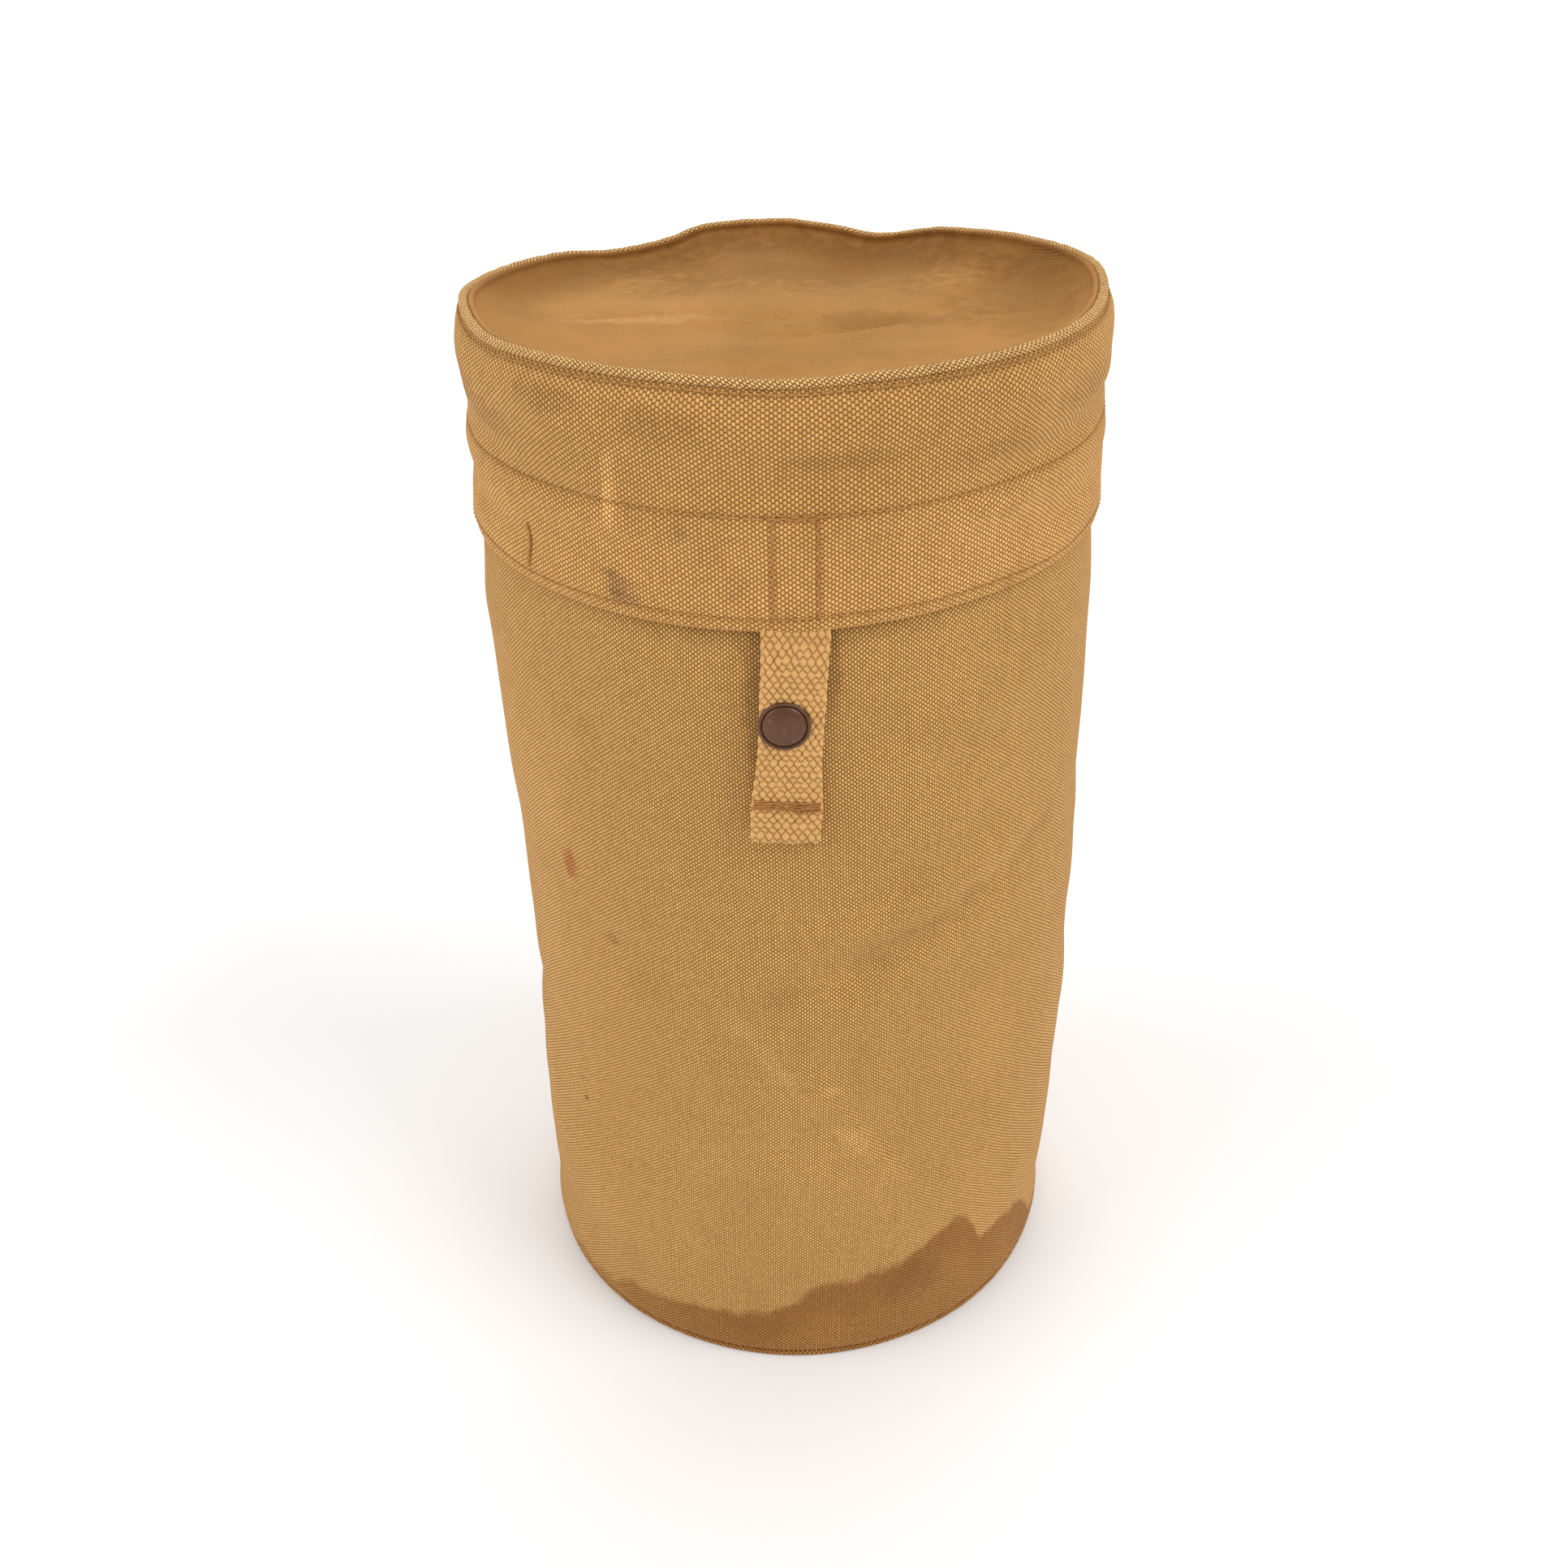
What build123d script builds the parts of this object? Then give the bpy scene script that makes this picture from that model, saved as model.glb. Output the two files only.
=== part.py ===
from build123d import *
import os

# A round canvas pouch that stands on its flat base. A fitted canvas cap covers the mouth. The cap is
# joined to the pouch by a webbing strap at the back, and closes with a webbing strap and press stud
# at the front. Millimetres. The front is -Y and Z is up. The origin is the middle of the base.

# Driving dimensions
POUCH_R = 98.0            # outside of the pouch wall
CANVAS = 1.2              # one layer of heavy duck canvas
HEM_Z = 295.0             # lower edge of the cap when it is closed
OVERLAP = 21.0            # how far the pouch reaches up inside the cap
RIM_Z = 363.5             # top of the cap's standing rim
BAND_H = 32.0             # doubled band round the cap's lower edge
CAP_GAP = 1.8             # between the pouch wall and the inside of the cap
SPLIT = 0.2               # half of the cut at each webbing hinge line

WEB_W = 19.0              # three-quarter inch webbing
WEB_T = 2.0
FRONT_STRAP_L = 65.2      # free length below the hem
FOLD_L = 13.0             # doubled end of the front strap
FOLD_T = 1.9              # its second layer
STUD_DROP = 26.6          # press stud centre, below the hem
STUD_X = -3.2             # the press stud sits a little left of the middle
LEAN = 3.0                # degrees that the front strap leans to the left

THREAD = 0.5              # proud of the cloth that it is sewn to

# Worked-out sizes
MOUTH_Z = HEM_Z + OVERLAP
FACING_R = POUCH_R + CAP_GAP
SKIRT_R = FACING_R + 1.1                 # inside of the cap's outer canvas
CAP_R = SKIRT_R + CANVAS                 # outside of the cap
STUD_Z = HEM_Z - STUD_DROP
STRAP_IN = POUCH_R + 3.8                 # back face of the front strap, from the axis
STRAP_OUT = STRAP_IN + WEB_T
REAR_IN = CAP_R + THREAD + 0.1           # back strap, where it lies over the band's stitching
REAR_OUT = REAR_IN + WEB_T
TOP_Z = RIM_Z - 11.0                     # the sunk top panel
EYE_R = 1.8                              # bores that the rivet barrels pass through
BARREL_GAP = 0.05                        # round each barrel in its bore
FLANGE_R = 5.0                           # stud and eyelet flanges
BINDING_R = POUCH_R - 2 * CANVAS - 0.1   # outside of the tape in the base seam
SEAM_TURN = 35                           # degrees from the middle of the back to the lapped seam


def revolved(points):
    """Full turn about Z of a closed outline given as (radius, height)."""
    outline = Polyline(*[(r, 0, z) for r, z in points], close=True)
    return revolve(make_face(outline), Axis.Z, 360)


def ring(inner, outer, low, high):
    """Upright round wall."""
    return revolved([(inner, low), (outer, low), (outer, high), (inner, high)])


def front_window(width, low, high):
    """Block that covers the front half of the object between two heights."""
    return Pos(0, -80, (low + high) / 2) * Box(width, 160, high - low)


def back_window(width, low, high):
    return Pos(0, 80, (low + high) / 2) * Box(width, 160, high - low)


def along_stud(radius, start, end):
    """Round bar along the press stud's axis, between two distances in front of the pouch axis."""
    bar = Cylinder(radius, end - start)
    return Pos(STUD_X, -(start + end) / 2, STUD_Z) * Rot(90, 0, 0) * bar


def on_strap(down, depth, shape):
    """Place a shape on the leaning front strap: distance below the hem, and from the pouch axis."""
    return Pos(0, -depth, HEM_Z - SPLIT) * Rot(0, LEAN, 0) * Pos(0, 0, -down) * shape


def stitch_box(surface, width, low, high, window):
    """Rectangle of stitching that lies on a round wall."""
    row = 0.9
    thread = ring(surface + 0.02, surface + 0.02 + THREAD, low, high)
    inside = window(width - 2 * row, low + row, high - row)
    return (thread & window(width, low, high)) - inside


def stitch_ring(surface, height):
    return ring(surface + 0.02, surface + 0.02 + THREAD, height - 0.4, height + 0.4)


# ---- The pouch ----

def body_panel():
    """One wrapped panel: turned hem at the mouth, lapped seam at the back, hole for the stud."""
    hem = 15.0
    inner = POUCH_R - CANVAS
    wall = revolved([
        (inner, 0.8), (POUCH_R, 0.8), (POUCH_R, MOUTH_Z),
        (inner - CANVAS, MOUTH_Z), (inner - CANVAS, MOUTH_Z - hem), (inner, MOUTH_Z - hem),
    ])
    lap = ring(POUCH_R - 0.5, POUCH_R + 0.9, 14, MOUTH_Z - 14) & back_window(11, 0, RIM_Z)
    return wall + Rot(0, 0, SEAM_TURN) * lap - along_stud(EYE_R, POUCH_R - 5, POUCH_R + 5)


def base_disc():
    """Flat base, its edge turned up inside the wall."""
    edge = POUCH_R - CANVAS - 0.05
    return revolved([
        (0, 0), (edge, 0), (edge, 11), (edge - CANVAS, 11), (edge - CANVAS, CANVAS), (0, CANVAS),
    ])


def base_binding():
    """Tape sewn over the raw edges of the base seam, inside the pouch."""
    return ring(BINDING_R - 0.8, BINDING_R, 2, 13)


def base_stitching():
    """The base seam is sewn inside out, so its thread shows only on the binding."""
    thread_r = BINDING_R - 0.82
    return ring(thread_r - THREAD, thread_r, 7.1, 7.9)


def mouth_stitching():
    return stitch_ring(POUCH_R, MOUTH_Z - 13)


def back_seam_stitching():
    """Two rows along the lapped seam."""
    rows = ring(POUCH_R + 0.92, POUCH_R + 0.92 + THREAD, 16, MOUTH_Z - 16)
    left = Pos(-3.5, 0, 0) * back_window(0.8, 0, RIM_Z)
    right = Pos(3.5, 0, 0) * back_window(0.8, 0, RIM_Z)
    return Rot(0, 0, SEAM_TURN) * Compound(children=[rows & left, rows & right])


def stud_patch():
    """Square of canvas that backs the stud inside the wall."""
    face = POUCH_R - CANVAS - 0.05
    patch = ring(face - 1.1, face, STUD_Z - 12, STUD_Z + 12) & front_window(24, 0, RIM_Z)
    return patch - along_stud(EYE_R, POUCH_R - 5, POUCH_R + 5)


def stud():
    """Male half of the press stud: flange, neck and bead head, hollow for the eyelet's barrel."""
    base = POUCH_R + 0.05
    shape = along_stud(FLANGE_R, base, base + 0.8)
    shape += along_stud(2.8, base + 0.7, base + 2.0)
    shape += along_stud(3.1, base + 1.9, base + 3.25)
    return shape - along_stud(EYE_R, base - 1, base + 2.6)


def stud_eyelet():
    """Inner half: a flange on the backing patch and a barrel clinched in the stud."""
    seat = POUCH_R - CANVAS - 1.65
    barrel = along_stud(EYE_R - BARREL_GAP, seat - 0.1, POUCH_R + 1.5)
    return along_stud(FLANGE_R, seat - 0.6, seat) + barrel


def hinge_strap_lower():
    """Back strap below the hinge line: steps in from the cap to the pouch and is sewn there."""
    face = POUCH_R + 0.05
    top = HEM_Z - SPLIT
    strap = revolved([
        (REAR_IN, top), (REAR_OUT, top), (REAR_OUT, top - 5), (face + WEB_T, top - 17),
        (face + WEB_T, top - 60), (face, top - 60), (face, top - 16.5), (REAR_IN, top - 4.5),
    ])
    return strap & back_window(WEB_W, 0, RIM_Z)


def hinge_strap_lower_stitching():
    low = HEM_Z - 57
    return stitch_box(POUCH_R + 0.05 + WEB_T, 14, low, low + 34, back_window)


# ---- The cap ----

def lid_top():
    """Round top panel, sunk below the rim, its edge turned up to a small roll."""
    edge = 95.6
    roll = Pos(0, 0, RIM_Z - 1.7) * Torus(edge - CANVAS / 2, 0.9)
    dish = revolved([
        (0, TOP_Z), (edge, TOP_Z), (edge, RIM_Z - 1.7), (edge - CANVAS, RIM_Z - 1.7),
        (edge - CANVAS, TOP_Z + CANVAS), (0, TOP_Z + CANVAS),
    ])
    return dish + roll


def lid_skirt():
    """Side of the cap: upright below, drawn in above, and folded to a roll at the rim."""
    shoulder = RIM_Z - 24
    neck_r = 98.0
    neck_z = RIM_Z - 1.4
    outer = [(CAP_R, 0, HEM_Z), (CAP_R, 0, shoulder)]
    inner = [(SKIRT_R, 0, HEM_Z), (SKIRT_R, 0, shoulder)]
    outside = ThreePointArc(outer[1], (CAP_R - 1.1, 0, RIM_Z - 10), (neck_r, 0, neck_z))
    inside = ThreePointArc(inner[1], (SKIRT_R - 1.1, 0, RIM_Z - 10), (neck_r - CANVAS, 0, neck_z))
    outline = [Line(outer[0], outer[1]), outside, Line(outside @ 1, inside @ 1)]
    outline += [inside, Line(inner[1], inner[0]), Line(inner[0], outer[0])]
    side = revolve(make_face(Wire(outline)), Axis.Z, 360)
    roll = Pos(0, 0, neck_z) * Torus(neck_r - 0.4, 1.3)
    return side + roll


def lid_facing():
    """Inner layer of the band, with a gap where the front strap is sewn in."""
    band = ring(FACING_R, SKIRT_R - 0.05, HEM_Z, HEM_Z + BAND_H)
    return band - front_window(WEB_W + 0.4, HEM_Z - 1, HEM_Z + BAND_H + 1)


def strap_root():
    """Flattened end of the front strap, between the two layers of the band."""
    tongue = ring(FACING_R, SKIRT_R - 0.05, HEM_Z, HEM_Z + BAND_H - 1)
    return tongue & front_window(WEB_W, 0, RIM_Z)


def band_stitching():
    return stitch_ring(CAP_R, HEM_Z + BAND_H - 1.5)


def hem_stitching():
    return stitch_ring(CAP_R, HEM_Z + 2.2)


def rim_stitching():
    """Thread that joins the skirt to the top panel, just under the rim roll."""
    return stitch_ring(100.35, RIM_Z - 6)


def root_stitching():
    """Box of stitches that holds the front strap, a little right of the middle."""
    return Rot(0, 0, 0.85) * stitch_box(CAP_R, 12.6, HEM_Z + 3.2, HEM_Z + BAND_H - 2.6, front_window)


def band_bartack():
    """Short dense bar of thread on the band."""
    bar = ring(CAP_R + 0.02, CAP_R + 0.9, HEM_Z + 5, HEM_Z + 18.5) & front_window(1.6, 0, RIM_Z)
    return Rot(0, 0, -48) * bar


def hinge_strap_upper():
    """Back strap above the hinge line, flat on the band."""
    return ring(REAR_IN, REAR_OUT, HEM_Z + SPLIT, HEM_Z + BAND_H - 3) & back_window(WEB_W, 0, RIM_Z)


def hinge_strap_upper_stitching():
    return stitch_box(REAR_OUT, 14, HEM_Z + 3.5, HEM_Z + BAND_H - 6, back_window)


# ---- The front strap ----

def closure_strap():
    """Webbing with its end folded back behind it, and the rivet hole."""
    web_box = Box(WEB_W, WEB_T, FRONT_STRAP_L)
    fold_box = Box(WEB_W - 0.6, FOLD_T, FOLD_L)
    web = on_strap(FRONT_STRAP_L / 2, STRAP_IN + WEB_T / 2, web_box)
    fold = on_strap(FRONT_STRAP_L - FOLD_L / 2, STRAP_IN + 0.1 - FOLD_T / 2, fold_box)
    above_hem = Pos(0, -STRAP_IN, HEM_Z - SPLIT + 5) * Box(2 * WEB_W, 10, 10)
    return web + fold - above_hem - along_stud(EYE_R, STRAP_IN - 1, STRAP_OUT + 1)


def tip_stitching():
    """Bar of thread across the strap that holds the folded end."""
    bar = Box(WEB_W - 0.8, THREAD, 2.4)
    return on_strap(FRONT_STRAP_L - FOLD_L + 2, STRAP_OUT + 0.02 + THREAD / 2, bar)


def stud_cap():
    """Outer cap of the press stud: rolled rim, shallow dome and barrel."""
    seat_r, edge_r, dome_r = 7.2, 7.5, 6.3
    dome_rise = 0.7
    height = 2.3
    low = height - dome_rise
    rim = [(0, 0), (seat_r, 0), (edge_r, 0.5), (edge_r, 1.0), (seat_r, low - 0.1), (dome_r, low)]
    edges = Polyline(*[(r, 0, z) for r, z in rim]).edges()
    ball_r = (dome_r**2 + dome_rise**2) / (2 * dome_rise)
    middle = (dome_r / 2, 0, height - ball_r + (ball_r**2 - dome_r**2 / 4) ** 0.5)
    edges.append(ThreePointArc((dome_r, 0, low), middle, (0, 0, height)))
    edges.append(Line((0, 0, height), (0, 0, 0)))
    cap = revolve(make_face(Wire(edges)), Axis.Z, 360)
    barrel = along_stud(EYE_R - BARREL_GAP, STRAP_IN - 0.35, STRAP_OUT + 0.1)
    return Pos(STUD_X, -STRAP_OUT, STUD_Z) * Rot(90, 0, 0) * cap + barrel


def socket():
    """Female half on the back of the strap, open towards the stud."""
    shell = along_stud(5.75, STRAP_IN - 2.8, STRAP_IN - 0.02)
    cavity = along_stud(3.5, STRAP_IN - 3, STRAP_IN - 0.4)
    return shell - cavity - along_stud(EYE_R, STRAP_IN - 1, STRAP_IN + 1)


def socket_spring():
    """Wire ring that snaps behind the stud's head."""
    near = STRAP_IN - 2.4
    return along_stud(3.48, near, near + 0.45) - along_stud(2.95, near - 1, near + 1)


PIECES = [
    body_panel, base_disc, base_binding, base_stitching, mouth_stitching, back_seam_stitching,
    stud_patch, stud, stud_eyelet, hinge_strap_lower, hinge_strap_lower_stitching,
    lid_top, lid_skirt, lid_facing, strap_root, band_stitching, hem_stitching, rim_stitching,
    root_stitching, band_bartack, hinge_strap_upper, hinge_strap_upper_stitching,
    closure_strap, tip_stitching, stud_cap, socket, socket_spring,
]

os.makedirs("parts", exist_ok=True)
for piece in PIECES:
    export_step(piece(), f"parts/{piece.__name__}.step")
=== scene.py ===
import math

import bmesh
import bpy
import numpy as np
from mathutils import Matrix, Vector


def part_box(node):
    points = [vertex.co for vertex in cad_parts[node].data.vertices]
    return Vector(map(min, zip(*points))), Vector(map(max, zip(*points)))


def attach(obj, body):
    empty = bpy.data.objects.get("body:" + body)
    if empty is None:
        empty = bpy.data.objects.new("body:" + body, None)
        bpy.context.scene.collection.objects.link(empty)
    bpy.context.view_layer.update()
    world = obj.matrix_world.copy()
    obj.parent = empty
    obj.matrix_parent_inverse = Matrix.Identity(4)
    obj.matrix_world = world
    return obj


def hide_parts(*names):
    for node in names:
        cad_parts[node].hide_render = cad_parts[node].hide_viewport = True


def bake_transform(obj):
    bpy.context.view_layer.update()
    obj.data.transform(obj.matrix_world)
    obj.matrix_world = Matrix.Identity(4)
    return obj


# A round canvas pouch with a fitted cap, a front strap on a press stud and a webbing strap behind.
# Shapes are worked out in millimetres, from the frame's own pieces, and become metres in new_piece.
# Angles are degrees round the pouch: 0 at the front, 90 on the right. Heights are above the base.

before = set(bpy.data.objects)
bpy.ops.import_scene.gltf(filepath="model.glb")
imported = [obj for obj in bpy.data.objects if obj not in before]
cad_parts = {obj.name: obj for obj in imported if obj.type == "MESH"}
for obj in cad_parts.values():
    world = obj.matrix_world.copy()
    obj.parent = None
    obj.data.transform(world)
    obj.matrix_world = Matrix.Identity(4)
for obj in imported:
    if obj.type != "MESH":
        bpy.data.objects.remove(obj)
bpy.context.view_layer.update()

MM = 0.001


def corners(node):
    """Lowest and highest corner of a frame node, in millimetres."""
    low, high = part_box(node)
    return np.array(low) / MM, np.array(high) / MM


# ---- Sizes from the frame ----

wall_high = corners("body_panel")[1]
skirt_low, skirt_high = corners("lid_skirt")
root_low, root_high = corners("root_stitching")
cap_low, cap_high = corners("stud_cap")
strap_low = corners("closure_strap")[0]
bar_low, bar_high = corners("tip_stitching")
rear_low, rear_high = corners("hinge_strap_lower")
rear_top_high = corners("hinge_strap_upper")[1]
tack_low, tack_high = corners("band_bartack")
binding_low, binding_high = corners("base_binding")
patch_low, patch_high = corners("stud_patch")

WALL_R = wall_high[0]
MOUTH = wall_high[2]
HEM = skirt_low[2]
RIM = skirt_high[2]
STUD_X = (cap_low[0] + cap_high[0]) / 2
STUD_Z = (cap_low[2] + cap_high[2]) / 2
STRAP_FACE = -bar_high[1]
STRAP_END = strap_low[2]
WEB_W = rear_high[0] - rear_low[0]

CANVAS = 1.2
BAND = 32.0
CAP_R = 99.0              # outside of the cap: it fits the pouch closely
ROOT_DEG = 0.85           # the front strap's root is a little right of the middle
BACK_SEAM = 180 - 35


# ---- Lines, bumps and folds ----

def smooth_line(x, anchors):
    """Smooth curve through (place, value) pairs, level beyond its ends."""
    places = np.array([a[0] for a in anchors], float)
    values = np.array([a[1] for a in anchors], float)
    slopes = np.gradient(values, places)
    slopes[0] = slopes[-1] = 0
    x = np.clip(x, places[0], places[-1])
    k = np.clip(np.searchsorted(places, x) - 1, 0, len(places) - 2)
    gap = places[k + 1] - places[k]
    t = (x - places[k]) / gap
    a = (1 + 2 * t) * (1 - t) ** 2 * values[k] + t * (1 - t) ** 2 * gap * slopes[k]
    b = t * t * (3 - 2 * t) * values[k + 1] + t * t * (t - 1) * gap * slopes[k + 1]
    return a + b


def bump(x, middle, width):
    return np.exp(-(((x - middle) / width) ** 2))


def turn_bump(deg, middle, width):
    """The same on a circle, in degrees."""
    gap = (deg - middle + 180) % 360 - 180
    return np.exp(-((gap / width) ** 2))


def step(x, low, high):
    t = np.clip((x - low) / (high - low), 0, 1)
    return t * t * (3 - 2 * t)


WAVES = 16                # waves that add up to one soft undulation


def ripples(deg, z, seed, turns, height):
    """Soft seeded undulation of a round wall, between about -1 and 1."""
    rng = np.random.default_rng(seed)
    total = 0
    for _ in range(WAVES):
        lobes = rng.integers(turns[0], turns[1] + 1)
        rise = rng.normal(0, 1) * 2 * math.pi / height
        total = total + np.cos(np.radians(deg) * lobes + z * rise + rng.uniform(0, 2 * math.pi))
    return total / math.sqrt(WAVES)


def fold(across, up, start, end, width, depth):
    """A soft valley from start to end with a low ridge on its left side, in flat millimetres."""
    start, end = np.array(start, float), np.array(end, float)
    run = end - start
    length = np.hypot(*run)
    run = run / length
    along = (across - start[0]) * run[0] + (up - start[1]) * run[1]
    side = (up - start[1]) * run[0] - (across - start[0]) * run[1]
    ends = step(along, -width, length * 0.3) * (1 - step(along, length * 0.7, length + width))
    return depth * ends * (0.55 * bump(side, 1.5 * width, 1.1 * width) - bump(side, 0, width))


def round_fold(deg, z, start, end, width, depth):
    """A fold on the round wall, its ends given as (degrees, height)."""
    arc = math.radians(1) * WALL_R
    middle = (start[0] + end[0]) / 2
    gap = (deg - middle + 180) % 360 - 180
    a = ((start[0] - middle) * arc, start[1])
    b = ((end[0] - middle) * arc, end[1])
    return fold(gap * arc, z, a, b, width, depth)


def round_columns(count):
    """Columns round the pouch, starting and ending at the back seam, where the weave doesn't meet."""
    return np.linspace(BACK_SEAM - 360, BACK_SEAM, count, endpoint=False)


def on_wall(deg, radius, z, shift=0.0):
    rad = np.radians(deg)
    z = np.broadcast_to(z, np.broadcast(deg, radius).shape)
    return np.stack([radius * np.sin(rad) + shift, -radius * np.cos(rad), z], axis=-1)


# ---- Meshes ----

EDGE_ROWS = 4             # rows round a cloth edge
LATHE_STEPS = 96


def new_piece(name, points, faces, uv=None):
    """Mesh object from millimetre points. uv has one pair per face corner, in metres."""
    mesh = bpy.data.meshes.new(name)
    mesh.from_pydata((points * MM).tolist(), [], faces)
    if uv is not None:
        layer = mesh.uv_layers.new(name="cloth")
        layer.data.foreach_set("uv", np.asarray(uv, np.float32).ravel())
    work = bmesh.new()
    work.from_mesh(mesh)
    bmesh.ops.recalc_face_normals(work, faces=work.faces)
    work.to_mesh(mesh)
    work.free()
    mesh.shade_smooth()
    piece = bpy.data.objects.new(name, mesh)
    bpy.context.scene.collection.objects.link(piece)
    return piece


def skin(name, grid, uv, ring=False):
    """Surface over grid (row, column, xyz), closed round its columns, and round its rows if ring.

    uv is (row, column + 1, 2) in millimetres, or with ring (row + 1, column + 1, 2). Without ring
    the first and last rows are closed by a fan to their middle.
    """
    rows, columns = grid.shape[:2]
    r = np.arange(rows if ring else rows - 1)[:, None]
    c = np.arange(columns)[None, :]
    below, above = r * columns, ((r + 1) % rows) * columns
    right = (c + 1) % columns
    quads = np.stack([below + c, below + right, above + right, above + c], axis=-1).reshape(-1, 4)
    corner_uv = np.stack([uv[r, c], uv[r, c + 1], uv[r + 1, c + 1], uv[r + 1, c]], axis=-2)
    points = grid.reshape(-1, 3)
    faces = quads.tolist()
    uvs = [corner_uv.reshape(-1, 2)]
    if not ring:
        for row in (0, rows - 1):
            middle = len(points)
            points = np.vstack([points, grid[row].mean(axis=0)])
            centre_uv = uv[row].mean(axis=0)
            for k in range(columns):
                faces.append([middle, row * columns + k, row * columns + (k + 1) % columns])
                uvs.append(np.array([centre_uv, uv[row, k], uv[row, k + 1]]))
    return new_piece(name, points, faces, np.vstack(uvs) * MM)


def round_uv(degrees, lengths):
    """uv of a round wall: distance round it and distance up it."""
    across = np.radians(np.append(degrees, degrees[0] + 360)) * WALL_R
    grid = np.zeros((len(lengths), len(across), 2))
    grid[..., 0] = across[None, :]
    grid[..., 1] = np.asarray(lengths)[:, None]
    return grid


def profile_lengths(rows):
    """Distance along a stack of rows, measured down the front."""
    steps = np.linalg.norm(np.diff(rows[:, 0], axis=0), axis=1)
    return np.append(0, np.cumsum(steps))


def surface_normals(points):
    """Outward normals of a (row, column) grid that closes round its columns."""
    up = np.gradient(points, axis=0)
    wrapped = np.concatenate([points[:, -1:], points, points[:, :1]], axis=1)
    across = wrapped[:, 2:] - wrapped[:, :-2]
    normal = np.cross(across, up)
    return normal / np.linalg.norm(normal, axis=-1, keepdims=True)


def round_edge(outer, inner):
    """Rows of a half-round that lead from the outer row to the inner row of a cloth edge."""
    middle = (outer[0] + inner[0]) / 2
    half = (outer[0] - inner[0]) / 2
    beyond = outer[0] - outer[1]
    size = np.linalg.norm(half, axis=-1, keepdims=True)
    beyond = beyond / np.linalg.norm(beyond, axis=-1, keepdims=True) * size
    turns = np.linspace(0, math.pi, EDGE_ROWS + 2)[1:-1]
    return np.array([middle + half * math.cos(t) + beyond * math.sin(t) for t in turns])


def cloth_tube(name, degrees, outer, thickness):
    """Closed shell of one cloth layer. outer is (row, column, xyz) from its low to its high edge."""
    inner = outer - surface_normals(outer) * np.asarray(thickness).reshape(-1, 1, 1)
    top = round_edge(outer[::-1], inner[::-1])
    low = round_edge(outer, inner)
    grid = np.concatenate([outer, top, inner[::-1], low[::-1]])
    lengths = profile_lengths(np.concatenate([grid, grid[:1]]))
    return skin(name, grid, round_uv(degrees, lengths), ring=True)


def sewn_row(name, path, outward, pitch, thick, closed=False, seed=1, sides=6, rings=7, count=None):
    """Row of separate stitches along a line of points, each dipping into the cloth at its ends."""
    rng = np.random.default_rng(seed)
    if closed:
        path = np.vstack([path, path[:1]])
        outward = np.vstack([outward, outward[:1]])
    far = np.append(0, np.cumsum(np.linalg.norm(np.diff(path, axis=0), axis=1)))
    count = count or max(1, int(round(far[-1] / pitch)))
    pitch = far[-1] / count
    t = np.linspace(0, 1, rings)
    turns = np.arange(sides) / sides * 2 * math.pi
    points, faces, uvs = [], [], []
    for k in range(count):
        start = (k + 0.09 + rng.uniform(-0.03, 0.03)) * pitch
        place = start + t * pitch * 0.82
        lean = rng.uniform(-0.12, 0.12) * thick
        line = np.stack([np.interp(place, far, path[:, i]) for i in range(3)], axis=-1)
        out = np.stack([np.interp(place, far, outward[:, i]) for i in range(3)], axis=-1)
        out = out / np.linalg.norm(out, axis=-1, keepdims=True)
        ahead = np.gradient(line, axis=0)
        ahead = ahead / np.linalg.norm(ahead, axis=-1, keepdims=True)
        side = np.cross(ahead, out)
        lift = thick * (0.62 * np.sin(math.pi * t) ** 0.5 - 0.42)
        line = line + out * lift[:, None] + side * (lean * np.sin(math.pi * t))[:, None]
        size = thick / 2 * (0.55 + 0.45 * np.sin(math.pi * t) ** 0.4)
        ring = (side[:, None] * np.cos(turns)[None, :, None] + out[:, None] * np.sin(turns)[None, :, None])
        base = len(points) * rings * sides
        points.append((line[:, None] + ring * size[:, None, None]).reshape(-1, 3))
        for r in range(rings - 1):
            for s in range(sides):
                a, b = base + r * sides + s, base + r * sides + (s + 1) % sides
                faces.append([a, b, b + sides, a + sides])
                u0, u1 = s / sides, (s + 1) / sides
                v0, v1 = place[r] * MM, place[r + 1] * MM
                uvs.append([[u0 * MM, v0], [u1 * MM, v0], [u1 * MM, v1], [u0 * MM, v1]])
        for row, order in ((0, -1), (rings - 1, 1)):
            loop = [base + row * sides + s for s in range(sides)][::order]
            faces.append(loop)
            uvs.append([[0, place[row] * MM]] * sides)
    flat_uv = np.array([pair for face in uvs for pair in face])
    return new_piece(name, np.vstack(points), faces, flat_uv)


def spline_path(anchors, spacing):
    """Evenly spaced points on a smooth curve through given points."""
    anchors = np.array(anchors, float)
    far = np.append(0, np.cumsum(np.linalg.norm(np.diff(anchors, axis=0), axis=1)))
    fine = np.linspace(0, far[-1], 600)
    curve = np.stack([smooth_line(fine, list(zip(far, anchors[:, i]))) for i in range(3)], axis=-1)
    run = np.append(0, np.cumsum(np.linalg.norm(np.diff(curve, axis=0), axis=1)))
    even = np.linspace(0, run[-1], int(run[-1] / spacing) + 1)
    return np.stack([np.interp(even, run, curve[:, i]) for i in range(3)], axis=-1), even


WARP_PITCH = 1.15         # webbing: half the spacing of its fat beads across
PICK_PITCH = 1.75         # and along
BEAD_SINK = 0.42          # how far below the face the beads begin
SELVEDGE = 0.12           # half thickness of the strap's thin edge


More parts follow.
